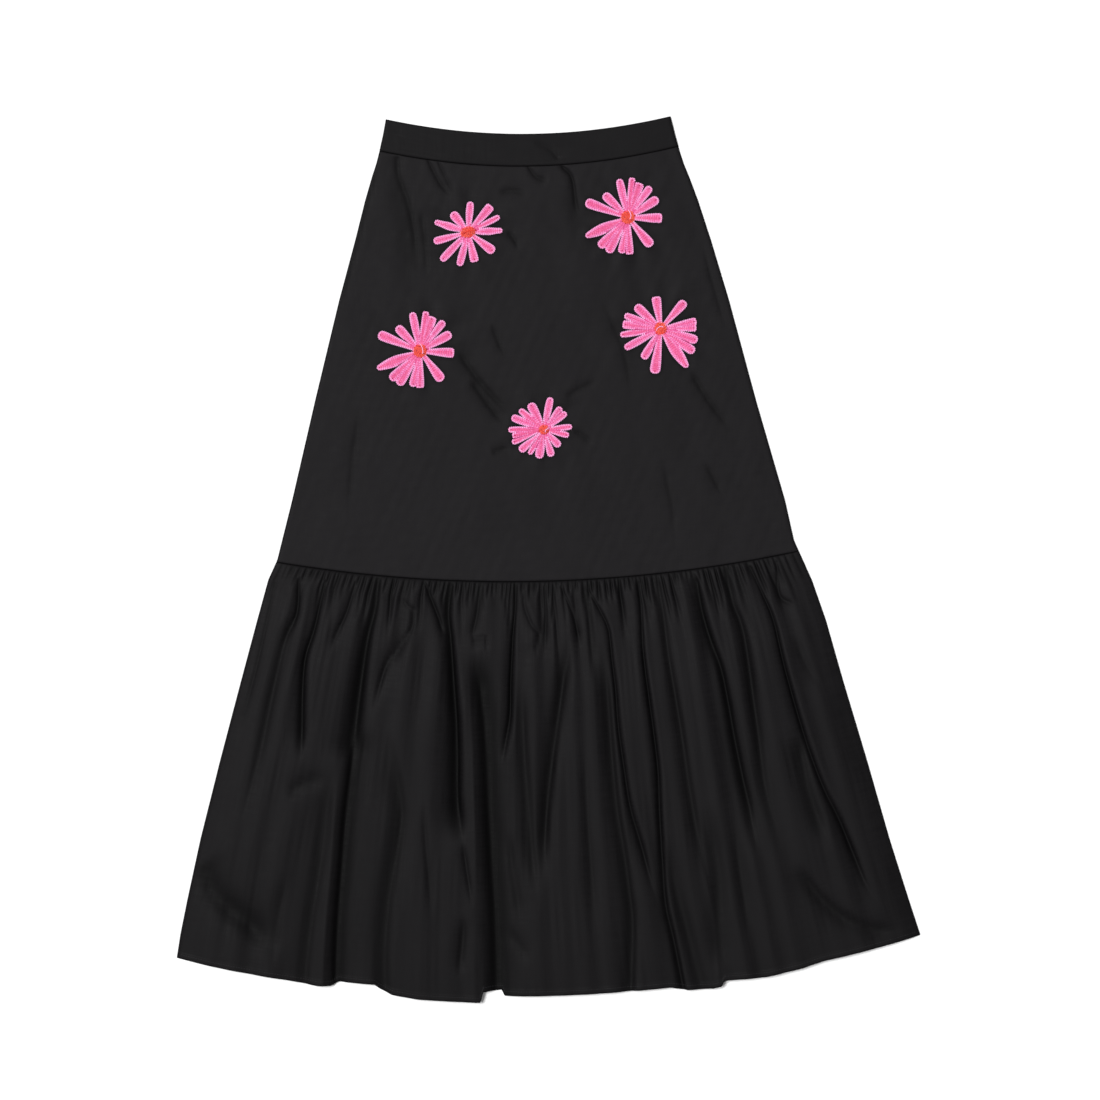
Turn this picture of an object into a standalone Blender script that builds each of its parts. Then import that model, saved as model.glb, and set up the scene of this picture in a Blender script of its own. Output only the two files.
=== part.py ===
"""A long gathered skirt laid flat on its back, with five stitched flowers on its front.

X runs across the skirt, Y runs from hem to waist, and Z is up from the surface that it lies on.
Tables and sizes are in millimetres, measured from the middle of the whole skirt, and meshes in metres.
"""

import math
from typing import NamedTuple

import bmesh
import bpy

MM = 0.001
POLE_MERGE = 1e-6

# Walls and the air between them
CLOTH_WALL = 1.2
BAND_WALL = 1.6
PETAL_WALL = 1.6
CENTRE_WALL = 1.8
LAYER_GAP = 0.3
SEAM_GAP = 0.3

# Fullness of the smooth upper part, highest along its middle
CROWN = 1.2

# Folds of the flounce
GATHER_RISE = 2.2
GATHER_ONSET = 0.03
GATHER_LENGTH = 0.09
FOLD_ONSET = 0.25
FOLD_AT_SEAM = 0.12
FOLD_FLATTENING = 0.2
FOLD_ROUNDNESS = 2.6
VALLEY_FADE = 0.12
VALLEY_LIFT = 0.9
GATHER_FLOOR = 0.4
SIDE_FADE = 4.0
HEM_SWING = 4

# Under layer: flat on the surface below the furrows, and raised into the folds above it
BACK_LAND = 2.4
BACK_SHARE = 0.85
BACK_HEM_RAISE = 9.0

# How finely each piece is divided
UPPER_COLUMNS = 20
FRONT_STEPS_PER_GATHER = 3
BACK_STEPS_PER_GATHER = 2
BAND_FRONT_ROWS = (0.0, 0.5, 1.0)
BAND_BACK_ROWS = (0.0, 1.0)
PANEL_FRONT_ROWS = (0.0, 0.03, 0.07, 0.13, 0.21, 0.32, 0.44, 0.56, 0.68, 0.80, 0.91, 1.0)
PANEL_BACK_ROWS = (0.0, 0.03, 0.07, 0.21, 0.44, 0.68, 1.0)
FLOUNCE_FRONT_ROWS = (0.0, 0.02, 0.06, 0.12, 0.21, 0.33, 0.48, 0.65, 0.83, 1.0)
FLOUNCE_BACK_ROWS = (0.0, 0.06, 0.15, 0.30, 0.50, 0.75, 1.0)
CENTRE_SPOKES = 14


class Side(NamedTuple):
    """Where the two side edges lie at one height."""

    y: float
    left: float
    right: float


class Line(NamedTuple):
    """A line across the skirt: its height at each side edge and how far its middle sags below them."""

    left_y: float
    right_y: float
    sag: float


class Furrow(NamedTuple):
    """A furrow down the flounce, with the fold on its left that it closes.

    seam and hem are its places across, from 0 at the left side to 1 at the right. starts and ends are
    shares of the way down, and a depth of 1 reaches the layer beneath. The fold has so many gathers at
    the seam, rises so far, and hangs so far below the hem line.
    """

    seam: float
    hem: float
    starts: float
    ends: float
    depth: float
    gathers: int
    rise: float
    drop: float


class Petal(NamedTuple):
    """One rounded lobe of a flower: the way it points in degrees, its length and its width."""

    angle: float
    length: float
    width: float


class Finish(NamedTuple):
    """A surface's linear colour and its roughness."""

    colour: tuple
    roughness: float


class Flower(NamedTuple):
    """A flower: its middle, how far it is turned, and its centre's width, height and tilt."""

    x: float
    y: float
    turn: float
    centre_width: float
    centre_height: float
    centre_tilt: float
    petals: tuple


SIDES = (
    Side(508.9, -186.6, 140.3),
    Side(488.2, -190.3, 145.5),
    Side(467.5, -194.9, 151.2),
    Side(453.7, -198.4, 155.8),
    Side(439.9, -203.0, 161.6),
    Side(412.3, -211.0, 171.9),
    Side(366.3, -222.5, 186.9),
    Side(297.3, -240.9, 207.6),
    Side(182.3, -268.5, 238.6),
    Side(67.3, -295.0, 272.0),
    Side(21.3, -306.5, 282.3),
    Side(-1.7, -312.2, 292.7),
    Side(-24.7, -322.6, 303.0),
    Side(-70.7, -335.2, 319.1),
    Side(-139.7, -353.6, 338.7),
    Side(-231.7, -377.8, 366.3),
    Side(-323.7, -400.8, 392.7),
    Side(-392.7, -415.7, 414.6),
    Side(-433.0, -423.8, 427.8),
    Side(-459.4, -427.8, 427.8),
)

WAIST = Line(505.4, 508.9, 18.7)
BAND_SEAM = Line(469.2, 474.4, 20.4)
TIER_SEAM = Line(-4.0, 8.6, 28.5)
HEM = Line(-459.4, -433.0, 56.2)

FURROWS = (
    Furrow(seam=0.000, hem=0.000, starts=0.00, ends=2.00, depth=1.0, gathers=0, rise=0.0, drop=0.0),
    Furrow(seam=0.042, hem=0.055, starts=0.00, ends=0.55, depth=0.6, gathers=2, rise=4.5, drop=0.0),
    Furrow(seam=0.090, hem=0.115, starts=0.00, ends=0.50, depth=0.7, gathers=2, rise=6.5, drop=0.0),
    Furrow(seam=0.146, hem=0.165, starts=0.00, ends=0.20, depth=0.4, gathers=3, rise=6.5, drop=0.0),
    Furrow(seam=0.200, hem=0.210, starts=0.00, ends=2.00, depth=1.0, gathers=3, rise=8.5, drop=1.5),
    Furrow(seam=0.262, hem=0.274, starts=0.30, ends=2.00, depth=0.7, gathers=3, rise=7.0, drop=-7.0),
    Furrow(seam=0.280, hem=0.330, starts=0.00, ends=0.25, depth=0.5, gathers=1, rise=8.0, drop=4.0),
    Furrow(seam=0.326, hem=0.385, starts=0.00, ends=0.82, depth=1.0, gathers=2, rise=8.5, drop=5.5),
    Furrow(seam=0.372, hem=0.412, starts=0.15, ends=2.00, depth=1.0, gathers=2, rise=7.5, drop=6.0),
    Furrow(seam=0.392, hem=0.438, starts=0.15, ends=2.00, depth=1.0, gathers=1, rise=1.2, drop=-7.0),
    Furrow(seam=0.462, hem=0.457, starts=0.00, ends=0.50, depth=0.8, gathers=3, rise=7.5, drop=0.5),
    Furrow(seam=0.479, hem=0.484, starts=0.10, ends=0.95, depth=0.6, gathers=1, rise=6.0, drop=0.0),
    Furrow(seam=0.543, hem=0.503, starts=0.05, ends=0.85, depth=0.8, gathers=4, rise=7.0, drop=0.0),
    Furrow(seam=0.595, hem=0.606, starts=0.00, ends=2.00, depth=0.9, gathers=3, rise=8.5, drop=0.0),
    Furrow(seam=0.634, hem=0.646, starts=0.00, ends=0.85, depth=0.7, gathers=2, rise=6.5, drop=-0.5),
    Furrow(seam=0.696, hem=0.685, starts=0.00, ends=2.00, depth=0.9, gathers=3, rise=8.0, drop=0.5),
    Furrow(seam=0.755, hem=0.733, starts=0.10, ends=2.00, depth=0.7, gathers=3, rise=8.5, drop=7.5),
    Furrow(seam=0.806, hem=0.790, starts=0.00, ends=0.85, depth=1.0, gathers=3, rise=7.5, drop=1.5),
    Furrow(seam=0.866, hem=0.833, starts=0.00, ends=0.80, depth=0.5, gathers=3, rise=8.0, drop=4.5),
    Furrow(seam=0.907, hem=0.955, starts=0.00, ends=0.90, depth=1.0, gathers=2, rise=7.5, drop=0.0),
    Furrow(seam=0.961, hem=0.985, starts=0.00, ends=0.15, depth=0.6, gathers=3, rise=6.0, drop=0.0),
    Furrow(seam=1.000, hem=1.000, starts=0.00, ends=2.00, depth=1.0, gathers=2, rise=4.0, drop=0.0),
)

# Slim petals, all single
STARRY_PETALS = (
    Petal(-163, 41, 8.5),
    Petal(-134, 45, 8.5),
    Petal(-105, 41, 8.0),
    Petal(-79, 35, 9.5),
    Petal(-38, 37, 10.0),
    Petal(1, 39, 8.0),
    Petal(26, 40, 7.0),
    Petal(49, 40, 9.0),
    Petal(87, 36, 9.0),
    Petal(128, 29, 10.0),
    Petal(161, 41, 7.5),
)

# Broad petals, three of them split at the tip into two lobes
BROAD_PETALS = (
    Petal(-156, 53, 10.5),
    Petal(-134, 47, 10.0),
    Petal(-120, 46, 9.5),
    Petal(-100, 42, 9.0),
    Petal(-88, 42, 9.0),
    Petal(-51, 42, 10.5),
    Petal(-1, 39, 10.5),
    Petal(32, 40, 10.0),
    Petal(54, 43, 9.0),
    Petal(71, 41, 9.0),
    Petal(84, 45, 7.0),
    Petal(103, 45, 9.0),
    Petal(136, 38, 10.0),
    Petal(160, 51, 10.5),
)

# Broad petals with two wide gaps above, and one of them square at the tip
SPREAD_PETALS = (
    Petal(-173, 45, 7.0),
    Petal(-151, 46, 8.5),
    Petal(-120, 38, 9.0),
    Petal(-97, 51, 11.0),
    Petal(-55, 53, 11.0),
    Petal(-34, 47, 9.0),
    Petal(-17, 44, 9.0),
    Petal(2, 41, 8.0),
    Petal(13, 41, 7.5),
    Petal(49, 43, 10.0),
    Petal(100, 37, 9.5),
    Petal(135, 38, 10.0),
    Petal(157, 43, 8.5),
    Petal(173, 43, 8.0),
)

# Short petals, close together, two of them split at the tip
CLOSE_PETALS = (
    Petal(-167, 36, 7.0),
    Petal(-155, 39, 6.0),
    Petal(-140, 36, 8.5),
    Petal(-121, 31, 6.0),
    Petal(-101, 32, 8.5),
    Petal(-74, 32, 8.0),
    Petal(-46, 26, 8.0),
    Petal(-13, 29, 7.0),
    Petal(6, 32, 7.0),
    Petal(38, 32, 7.0),
    Petal(52, 32, 8.0),
    Petal(79, 36, 8.0),
    Petal(116, 33, 10.0),
    Petal(139, 35, 8.5),
    Petal(158, 39, 8.5),
    Petal(180, 40, 8.0),
)

FLOWERS = (
    Flower(-92.4, 375.0, 0, 20.0, 12.5, 10, STARRY_PETALS),
    Flower(91.5, 392.0, 0, 15.5, 15.5, 0, BROAD_PETALS),
    Flower(-147.5, 238.5, -2, 15.5, 15.5, 0, BROAD_PETALS),
    Flower(129.0, 264.0, 0, 14.5, 14.5, 0, SPREAD_PETALS),
    Flower(-5.2, 148.0, 0, 11.5, 11.5, 0, CLOSE_PETALS),
)

# Shares that shape every petal: its root's width, its rounded end, and the notch beside a close neighbour
PETAL_ROOT = 0.62
TIP_SHARE_OF_GAP = 0.8
TIP_INNER = 0.55
NOTCH_LIMIT = 0.92

# Ring of plain stitching round the centre, and the centre's own form
PETAL_RING = 1.4
CENTRE_DOME = 0.6
CENTRE_RINGS = (0.0, 0.55, 1.0)

BLACK_COTTON = Finish((0.0160, 0.0145, 0.0160, 1.0), 0.75)
PINK_THREAD = Finish((0.855, 0.205, 0.434, 1.0), 0.6)
ORANGE_THREAD = Finish((0.871, 0.127, 0.045, 1.0), 0.6)


def mix(start, end, share):
    """The value that lies this share of the way from start to end."""
    return start + (end - start) * share


def ease(share):
    """A smooth rise from 0 to 1 as share goes from 0 to 1."""
    share = min(max(share, 0.0), 1.0)
    return share * share * (3.0 - 2.0 * share)


def side_x(y):
    """Left and right side edges at a height."""
    for upper, lower in zip(SIDES, SIDES[1:]):
        if y >= lower.y:
            share = (upper.y - y) / (upper.y - lower.y)
            return mix(upper.left, lower.left, share), mix(upper.right, lower.right, share)
    return SIDES[-1].left, SIDES[-1].right


def lowered(line, distance):
    """The same line, moved towards the hem."""
    return Line(line.left_y - distance, line.right_y - distance, line.sag)


def cloth_xy(top, bottom, across, down):
    """A point of the piece between two lines, by its shares across and down."""
    left_y = mix(top.left_y, bottom.left_y, down)
    right_y = mix(top.right_y, bottom.right_y, down)
    left_x = side_x(left_y)[0]
    right_x = side_x(right_y)[1]
    sag = mix(top.sag, bottom.sag, down) * 4.0 * across * (1.0 - across)
    return mix(left_x, right_x, across), mix(left_y, right_y, across) - sag


def crown(x, y):
    """Height of the upper part's fullness above its side edges."""
    left, right = side_x(y)
    middle = (left + right) / 2.0
    share = (x - middle) / (right - middle)
    return CROWN * max(0.0, 1.0 - share * share)


def panel_top(x, y):
    """Height of the front panel's outer face."""
    return 2.0 * CLOTH_WALL + LAYER_GAP + crown(x, y)


def band_top(x, y):
    """Height of the front waistband's outer face."""
    return 2.0 * BAND_WALL + LAYER_GAP + crown(x, y)


def furrow_depth(furrow, down):
    """How far a furrow reaches towards the layer beneath, at a share of the way down."""
    begun = ease((down - furrow.starts) / VALLEY_FADE) if furrow.starts > 0.0 else 1.0
    faded = ease((down - furrow.ends) / VALLEY_FADE + 1.0)
    return furrow.depth * begun * (1.0 - faded)


def fold_rise(index, down):
    """Height of the fold to the left of a furrow, at a share of the way down."""
    grown = mix(FOLD_AT_SEAM, 1.0, ease(down / FOLD_ONSET))
    return FURROWS[index].rise * grown * (1.0 - FOLD_FLATTENING * down)


def floor_height(index, down):
    """Height of a furrow's floor."""
    if index in (0, len(FURROWS) - 1):
        return 0.0
    neighbours = min(fold_rise(index, down), fold_rise(index + 1, down))
    lift = VALLEY_LIFT * ease(down / GATHER_ONSET)
    shallow = 1.0 - furrow_depth(FURROWS[index], down)
    return lift + max(0.0, neighbours - lift) * shallow


def gather_cut(phase, down):
    """How far a gather's crease cuts into the fold; phase runs from 0 to 1 across one gather."""
    strength = ease(down / GATHER_ONSET) * math.exp(-down / GATHER_LENGTH)
    return GATHER_RISE * strength * math.cos(math.pi * phase) ** 2


def fold_height(index, within, down):
    """Height of the flounce above its side edges.

    index is the furrow that closes the fold, and within runs from 0 to 1 across the fold.
    """
    floor = mix(floor_height(index - 1, down), floor_height(index, down), within)
    dome = 1.0 - abs(2.0 * within - 1.0) ** FOLD_ROUNDNESS
    height = floor + (max(fold_rise(index, down), floor) - floor) * dome
    at_side = index in (1, len(FURROWS) - 1)
    edge = min(1.0, SIDE_FADE * within, SIDE_FADE * (1.0 - within)) if at_side else 1.0
    cut = gather_cut(within * FURROWS[index].gathers, down) * edge
    return max(height - cut, min(floor, height) * GATHER_FLOOR)


def fold_columns(steps_per_gather):
    """The flounce's columns as pairs: the furrow that closes the fold, and the share across the fold."""
    columns = [(1, 0.0)]
    for index, furrow in enumerate(FURROWS[1:], start=1):
        steps = furrow.gathers * steps_per_gather
        columns += [(index, step / steps) for step in range(1, steps + 1)]
    return columns


def column_across(index, within, down):
    """Share across the flounce of a place in a fold."""
    left, right = FURROWS[index - 1], FURROWS[index]
    return mix(mix(left.seam, left.hem, down), mix(right.seam, right.hem, down), within)


def hem_drop(index, within, down):
    """How far a place in a fold hangs below the hem line, all of it near the hem."""
    if 0.0 < within < 1.0:
        hang = FURROWS[index].drop
    else:
        after = FURROWS[min(index + 1, len(FURROWS) - 1)].drop
        hang = min(FURROWS[index].drop, after) if within == 1.0 else 0.0
    return hang * down ** HEM_SWING


def lay_grid(columns, rows, place, closed=False):
    """A grid with its columns and rows put where place(column, row) says, facing up."""
    bm = bmesh.new()
    bmesh.ops.create_grid(bm, x_segments=len(columns) - 1, y_segments=len(rows) - 1, size=0.5)
    for vert in bm.verts:
        column = columns[round((vert.co.x + 0.5) * (len(columns) - 1))]
        row = rows[round((0.5 - vert.co.y) * (len(rows) - 1))]
        x, y, z = place(column, row)
        vert.co = (x * MM, y * MM, z * MM)
    if closed:
        bmesh.ops.remove_doubles(bm, verts=bm.verts, dist=POLE_MERGE)
    return bm


def make_material(name, finish):
    """A plain surface in one colour."""
    material = bpy.data.materials.new(name)
    material.use_nodes = True
    shader = material.node_tree.nodes["Principled BSDF"]
    shader.inputs["Base Color"].default_value = finish.colour
    shader.inputs["Roughness"].default_value = finish.roughness
    shader.inputs["Metallic"].default_value = 0.0
    material.diffuse_color = finish.colour
    return material


def make_piece(collection, name, bm, wall, finish):
    """An object whose wall grows inwards from the outer face in bm."""
    mesh = bpy.data.meshes.new(name)
    bm.to_mesh(mesh)
    bm.free()
    mesh.materials.append(make_material(name + "_finish", finish))
    piece = bpy.data.objects.new(name, mesh)
    collection.objects.link(piece)
    thicken = piece.modifiers.new("wall", "SOLIDIFY")
    thicken.thickness = wall * MM
    thicken.offset = -1.0
    thicken.use_even_offset = True
    thicken.use_quality_normals = True
    return piece


def face_down(bm):
    """Turn an outer face that is laid on the surface towards it."""
    bmesh.ops.reverse_faces(bm, faces=bm.faces)
    return bm


def upper_columns():
    """Even columns across the smooth upper pieces."""
    return [step / UPPER_COLUMNS for step in range(UPPER_COLUMNS + 1)]


def smooth_piece(top, bottom, rows, height):
    """The outer face of a smooth piece between two lines, at the height that height(x, y) gives."""

    def place(across, down):
        x, y = cloth_xy(top, bottom, across, down)
        return x, y, height(x, y)

    return lay_grid(upper_columns(), rows, place)


def build_waistbands(collection):
    """The front band on the back band."""
    front = smooth_piece(WAIST, BAND_SEAM, BAND_FRONT_ROWS, band_top)
    back = smooth_piece(WAIST, BAND_SEAM, BAND_BACK_ROWS, lambda x, y: 0.0)
    make_piece(collection, "waistband_front", front, BAND_WALL, BLACK_COTTON)
    make_piece(collection, "waistband_back", face_down(back), BAND_WALL, BLACK_COTTON)


def build_panels(collection):
    """The upper front panel on the upper back panel."""
    top = lowered(BAND_SEAM, SEAM_GAP)
    front = smooth_piece(top, TIER_SEAM, PANEL_FRONT_ROWS, panel_top)
    back = smooth_piece(top, TIER_SEAM, PANEL_BACK_ROWS, lambda x, y: 0.0)
    make_piece(collection, "panel_front", front, CLOTH_WALL, BLACK_COTTON)
    make_piece(collection, "panel_back", face_down(back), CLOTH_WALL, BLACK_COTTON)


def flounce_xy(column, down, hem):
    """A point of the flounce, by its place in a fold and its share down."""
    top = lowered(TIER_SEAM, SEAM_GAP)
    return cloth_xy(top, hem, column_across(*column, down), down)


def build_flounce_front(collection):
    """The front flounce: gathers at the seam that run out into long folds."""

    def place(column, down):
        x, y = flounce_xy(column, down, HEM)
        held = crown(x, y) * (1.0 - ease(down / FOLD_ONSET))
        z = 2.0 * CLOTH_WALL + LAYER_GAP + held + fold_height(*column, down)
        return x, y - hem_drop(*column, down), z

    bm = lay_grid(fold_columns(FRONT_STEPS_PER_GATHER), FLOUNCE_FRONT_ROWS, place)
    make_piece(collection, "flounce_front", bm, CLOTH_WALL, BLACK_COTTON)


def build_flounce_back(collection):
    """The back flounce, flat where it rests and raised a little into the folds above it."""
    hem = lowered(HEM, -BACK_HEM_RAISE)

    def place(column, down):
        x, y = flounce_xy(column, down, hem)
        z = BACK_SHARE * max(0.0, fold_height(*column, down) - BACK_LAND)
        return x, y, z

    bm = lay_grid(fold_columns(BACK_STEPS_PER_GATHER), FLOUNCE_BACK_ROWS, place)
    make_piece(collection, "flounce_back", face_down(bm), CLOTH_WALL, BLACK_COTTON)


def turned_petals(flower):
    """The flower's petals in order round it, turned as the flower is."""
    return sorted(
        Petal((petal.angle + flower.turn) % 360.0, petal.length, petal.width) for petal in flower.petals
    )


def centre_radius(flower, angle):
    """Radius of the flower's oval centre in a direction given in degrees."""
    turned = math.radians(angle - flower.centre_tilt)
    wide, high = flower.centre_width / 2.0, flower.centre_height / 2.0
    return wide * high / math.hypot(high * math.cos(turned), wide * math.sin(turned))


def side_radius(petal, away):
    """Radius of a petal's straight side at an angle away from its middle line, in radians."""
    half = petal.width / 2.0
    slant = math.sin(away) - half * (1.0 - PETAL_ROOT) / petal.length
    return half * PETAL_ROOT / slant if slant > 0.0 else petal.length


def side_angle(petal, radius):
    """Angle away from a petal's middle line at which its straight side has this radius, in radians."""
    half = petal.width / 2.0
    return math.asin(min(1.0, half * PETAL_ROOT / radius + half * (1.0 - PETAL_ROOT) / petal.length))


def petal_tip(petal, before, after):
    """Directions and radii of a petal's rounded end, kept inside the gaps before and after it."""
    half = petal.width / 2.0
    reach = petal.length - half
    shoulder = math.asin(half / reach)
    first = -min(shoulder, TIP_SHARE_OF_GAP * before)
    last = min(shoulder, TIP_SHARE_OF_GAP * after)
    points = []
    for away in (first, first * TIP_INNER, last * TIP_INNER, last):
        radius = reach * math.cos(away) + math.sqrt(max(0.0, half ** 2 - (reach * math.sin(away)) ** 2))
        points.append((petal.angle + math.degrees(away), radius))
    return points


def petal_outline(flower):
    """Directions and radii round the whole flower, petal by petal with the notches between them."""
    petals = turned_petals(flower)
    gaps = [(b.angle - a.angle) % 360.0 / 2.0 for a, b in zip(petals, petals[1:] + petals[:1])]
    outline = []
    for index, petal in enumerate(petals):
        following = petals[(index + 1) % len(petals)]
        outline += petal_tip(petal, math.radians(gaps[index - 1]), math.radians(gaps[index]))
        half_way = petal.angle + gaps[index]
        ring = centre_radius(flower, half_way) + PETAL_RING
        leave = petal.angle + math.degrees(side_angle(petal, ring))
        arrive = petal.angle + 2.0 * gaps[index] - math.degrees(side_angle(following, ring))
        if leave < arrive:
            outline += [(leave, ring), (arrive, ring)]
        else:
            radius = side_radius(petal, math.radians(gaps[index]))
            outline.append((half_way, min(max(radius, ring), NOTCH_LIMIT * outline[-1][1])))
    return outline


def on_panel(flower, angle, radius, lift):
    """A point at a direction and radius from the flower's middle, this far above the front panel."""
    x = flower.x + radius * math.cos(math.radians(angle))
    y = flower.y + radius * math.sin(math.radians(angle))
    return x, y, panel_top(x, y) + lift


def build_flower(collection, number, flower):
    """The petals of one flower as one pad, round its own coiled centre."""
    outline = petal_outline(flower)
    first_angle, first_radius = outline[0]
    outline.append((first_angle + 360.0, first_radius))

    def place_petals(point, outwards):
        angle, radius = point
        inner = centre_radius(flower, angle) + SEAM_GAP
        return on_panel(flower, angle, mix(inner, radius, outwards), LAYER_GAP + PETAL_WALL)

    bm = lay_grid(outline, (0.0, 1.0), place_petals, closed=True)
    make_piece(collection, f"petals_{number}", bm, PETAL_WALL, PINK_THREAD)

    spokes = [360.0 * step / CENTRE_SPOKES for step in range(CENTRE_SPOKES + 1)]

    def place_centre(angle, outwards):
        dome = CENTRE_DOME * (1.0 - outwards ** 2)
        radius = centre_radius(flower, angle) * outwards
        return on_panel(flower, angle, radius, LAYER_GAP + CENTRE_WALL + dome)

    bm = lay_grid(spokes, CENTRE_RINGS, place_centre, closed=True)
    make_piece(collection, f"centre_{number}", bm, CENTRE_WALL, ORANGE_THREAD)


def main():
    """Build the skirt in an empty scene."""
    for old in list(bpy.data.objects):
        bpy.data.objects.remove(old, do_unlink=True)
    collection = bpy.data.collections.new("embroidered_skirt")
    bpy.context.scene.collection.children.link(collection)
    build_waistbands(collection)
    build_panels(collection)
    build_flounce_front(collection)
    build_flounce_back(collection)
    for number, flower in enumerate(FLOWERS, start=1):
        build_flower(collection, number, flower)


main()
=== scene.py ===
"""A long black skirt with stitched daisies and a gathered flounce, laid flat on its back.

X runs across the skirt, Y from hem to waist, and Z up from the surface that it lies on. Sizes are
in millimetres, measured from the middle of the skirt, and meshes are in metres.
"""

import logging
import math
from dataclasses import dataclass, field
from enum import Enum
from typing import Callable, NamedTuple

import bpy
import numpy as np
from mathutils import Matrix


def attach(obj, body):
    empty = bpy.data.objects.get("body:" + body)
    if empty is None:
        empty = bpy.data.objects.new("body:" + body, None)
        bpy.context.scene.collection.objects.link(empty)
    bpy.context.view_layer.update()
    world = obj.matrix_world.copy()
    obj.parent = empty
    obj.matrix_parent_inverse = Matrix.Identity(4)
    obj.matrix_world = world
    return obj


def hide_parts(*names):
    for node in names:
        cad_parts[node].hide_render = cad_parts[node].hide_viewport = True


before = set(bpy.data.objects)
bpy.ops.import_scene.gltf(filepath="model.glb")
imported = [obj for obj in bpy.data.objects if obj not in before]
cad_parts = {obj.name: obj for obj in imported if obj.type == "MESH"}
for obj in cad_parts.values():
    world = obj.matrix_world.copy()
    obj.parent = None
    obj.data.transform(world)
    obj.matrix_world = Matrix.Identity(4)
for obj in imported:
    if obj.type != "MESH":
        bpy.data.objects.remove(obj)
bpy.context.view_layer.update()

MM = 0.001
BODY = "root"
LOG = logging.getLogger("skirt")

# Straight pieces between two given points of a smooth line
PATH_STEPS = 6
# A crease's width where it runs down from a seam, at its start and its end, and elsewhere
SEAM_SPREAD = (0.6, 1.6)
FREE_SPREAD = 1.2
# How many reaches from its path a crease still counts
CREASE_MARGIN = 3.0
# A wall's hidden face is this much coarser, and stays clear of what lies this many points away
HIDDEN_STEP = 2
HIDDEN_REACH = 2
# Columns to each side that are a place's surroundings
SURROUNDINGS = 14
# Least painted shade at a cloth's outermost points, which darkens its edges
EDGE_SHADE = 0.8


class Facing(Enum):
    """Which way the finished face of a laid piece looks."""

    UP = 1.0
    DOWN = -1.0


class Stitch(Enum):
    """A kind of stitch, by its number of strands."""

    LAID = 1
    CHAIN = 2


class Line(NamedTuple):
    """A line across the skirt: its height at each side edge and how far its middle sags below them."""

    left_y: float
    right_y: float
    sag: float

    def raised(self, distance: float) -> "Line":
        """The same line, moved towards the waist."""
        return Line(self.left_y + distance, self.right_y + distance, self.sag)


class Crease(NamedTuple):
    """A trough in the cloth, or a ridge where its depth is negative.

    depth is a share of the flounce's fullness or of the panel's crease height, or millimetres on the
    band. core and reach are half widths of its sharp middle and its soft shoulders, and a lean
    towards 1 makes the slope on one side steeper. start and end are the shares of its path over
    which it fades.
    """

    depth: float
    core: float
    reach: float
    lean: float
    start: float
    end: float
    path: tuple


class Form(NamedTuple):
    """A petal's widths at even steps from its root to its tip, as shares of its widest.

    square is 2 for a round tip, and more for a squarer one.
    """

    root: float
    low: float
    middle: float
    high: float
    tip: float
    square: float


class Petal(NamedTuple):
    """One rounded lobe of a flower: the way it points in degrees, its length, its width and its form."""

    angle: float
    length: float
    width: float
    form: Form


class Bloom(NamedTuple):
    """A flower's middle, how far it is turned, and its centre's width, height and tilt.

    accent is the thread across the centre, as shares of the way out and directions in degrees.
    """

    x: float
    y: float
    turn: float
    centre_width: float
    centre_height: float
    centre_tilt: float
    petals: tuple
    accent: tuple


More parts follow.
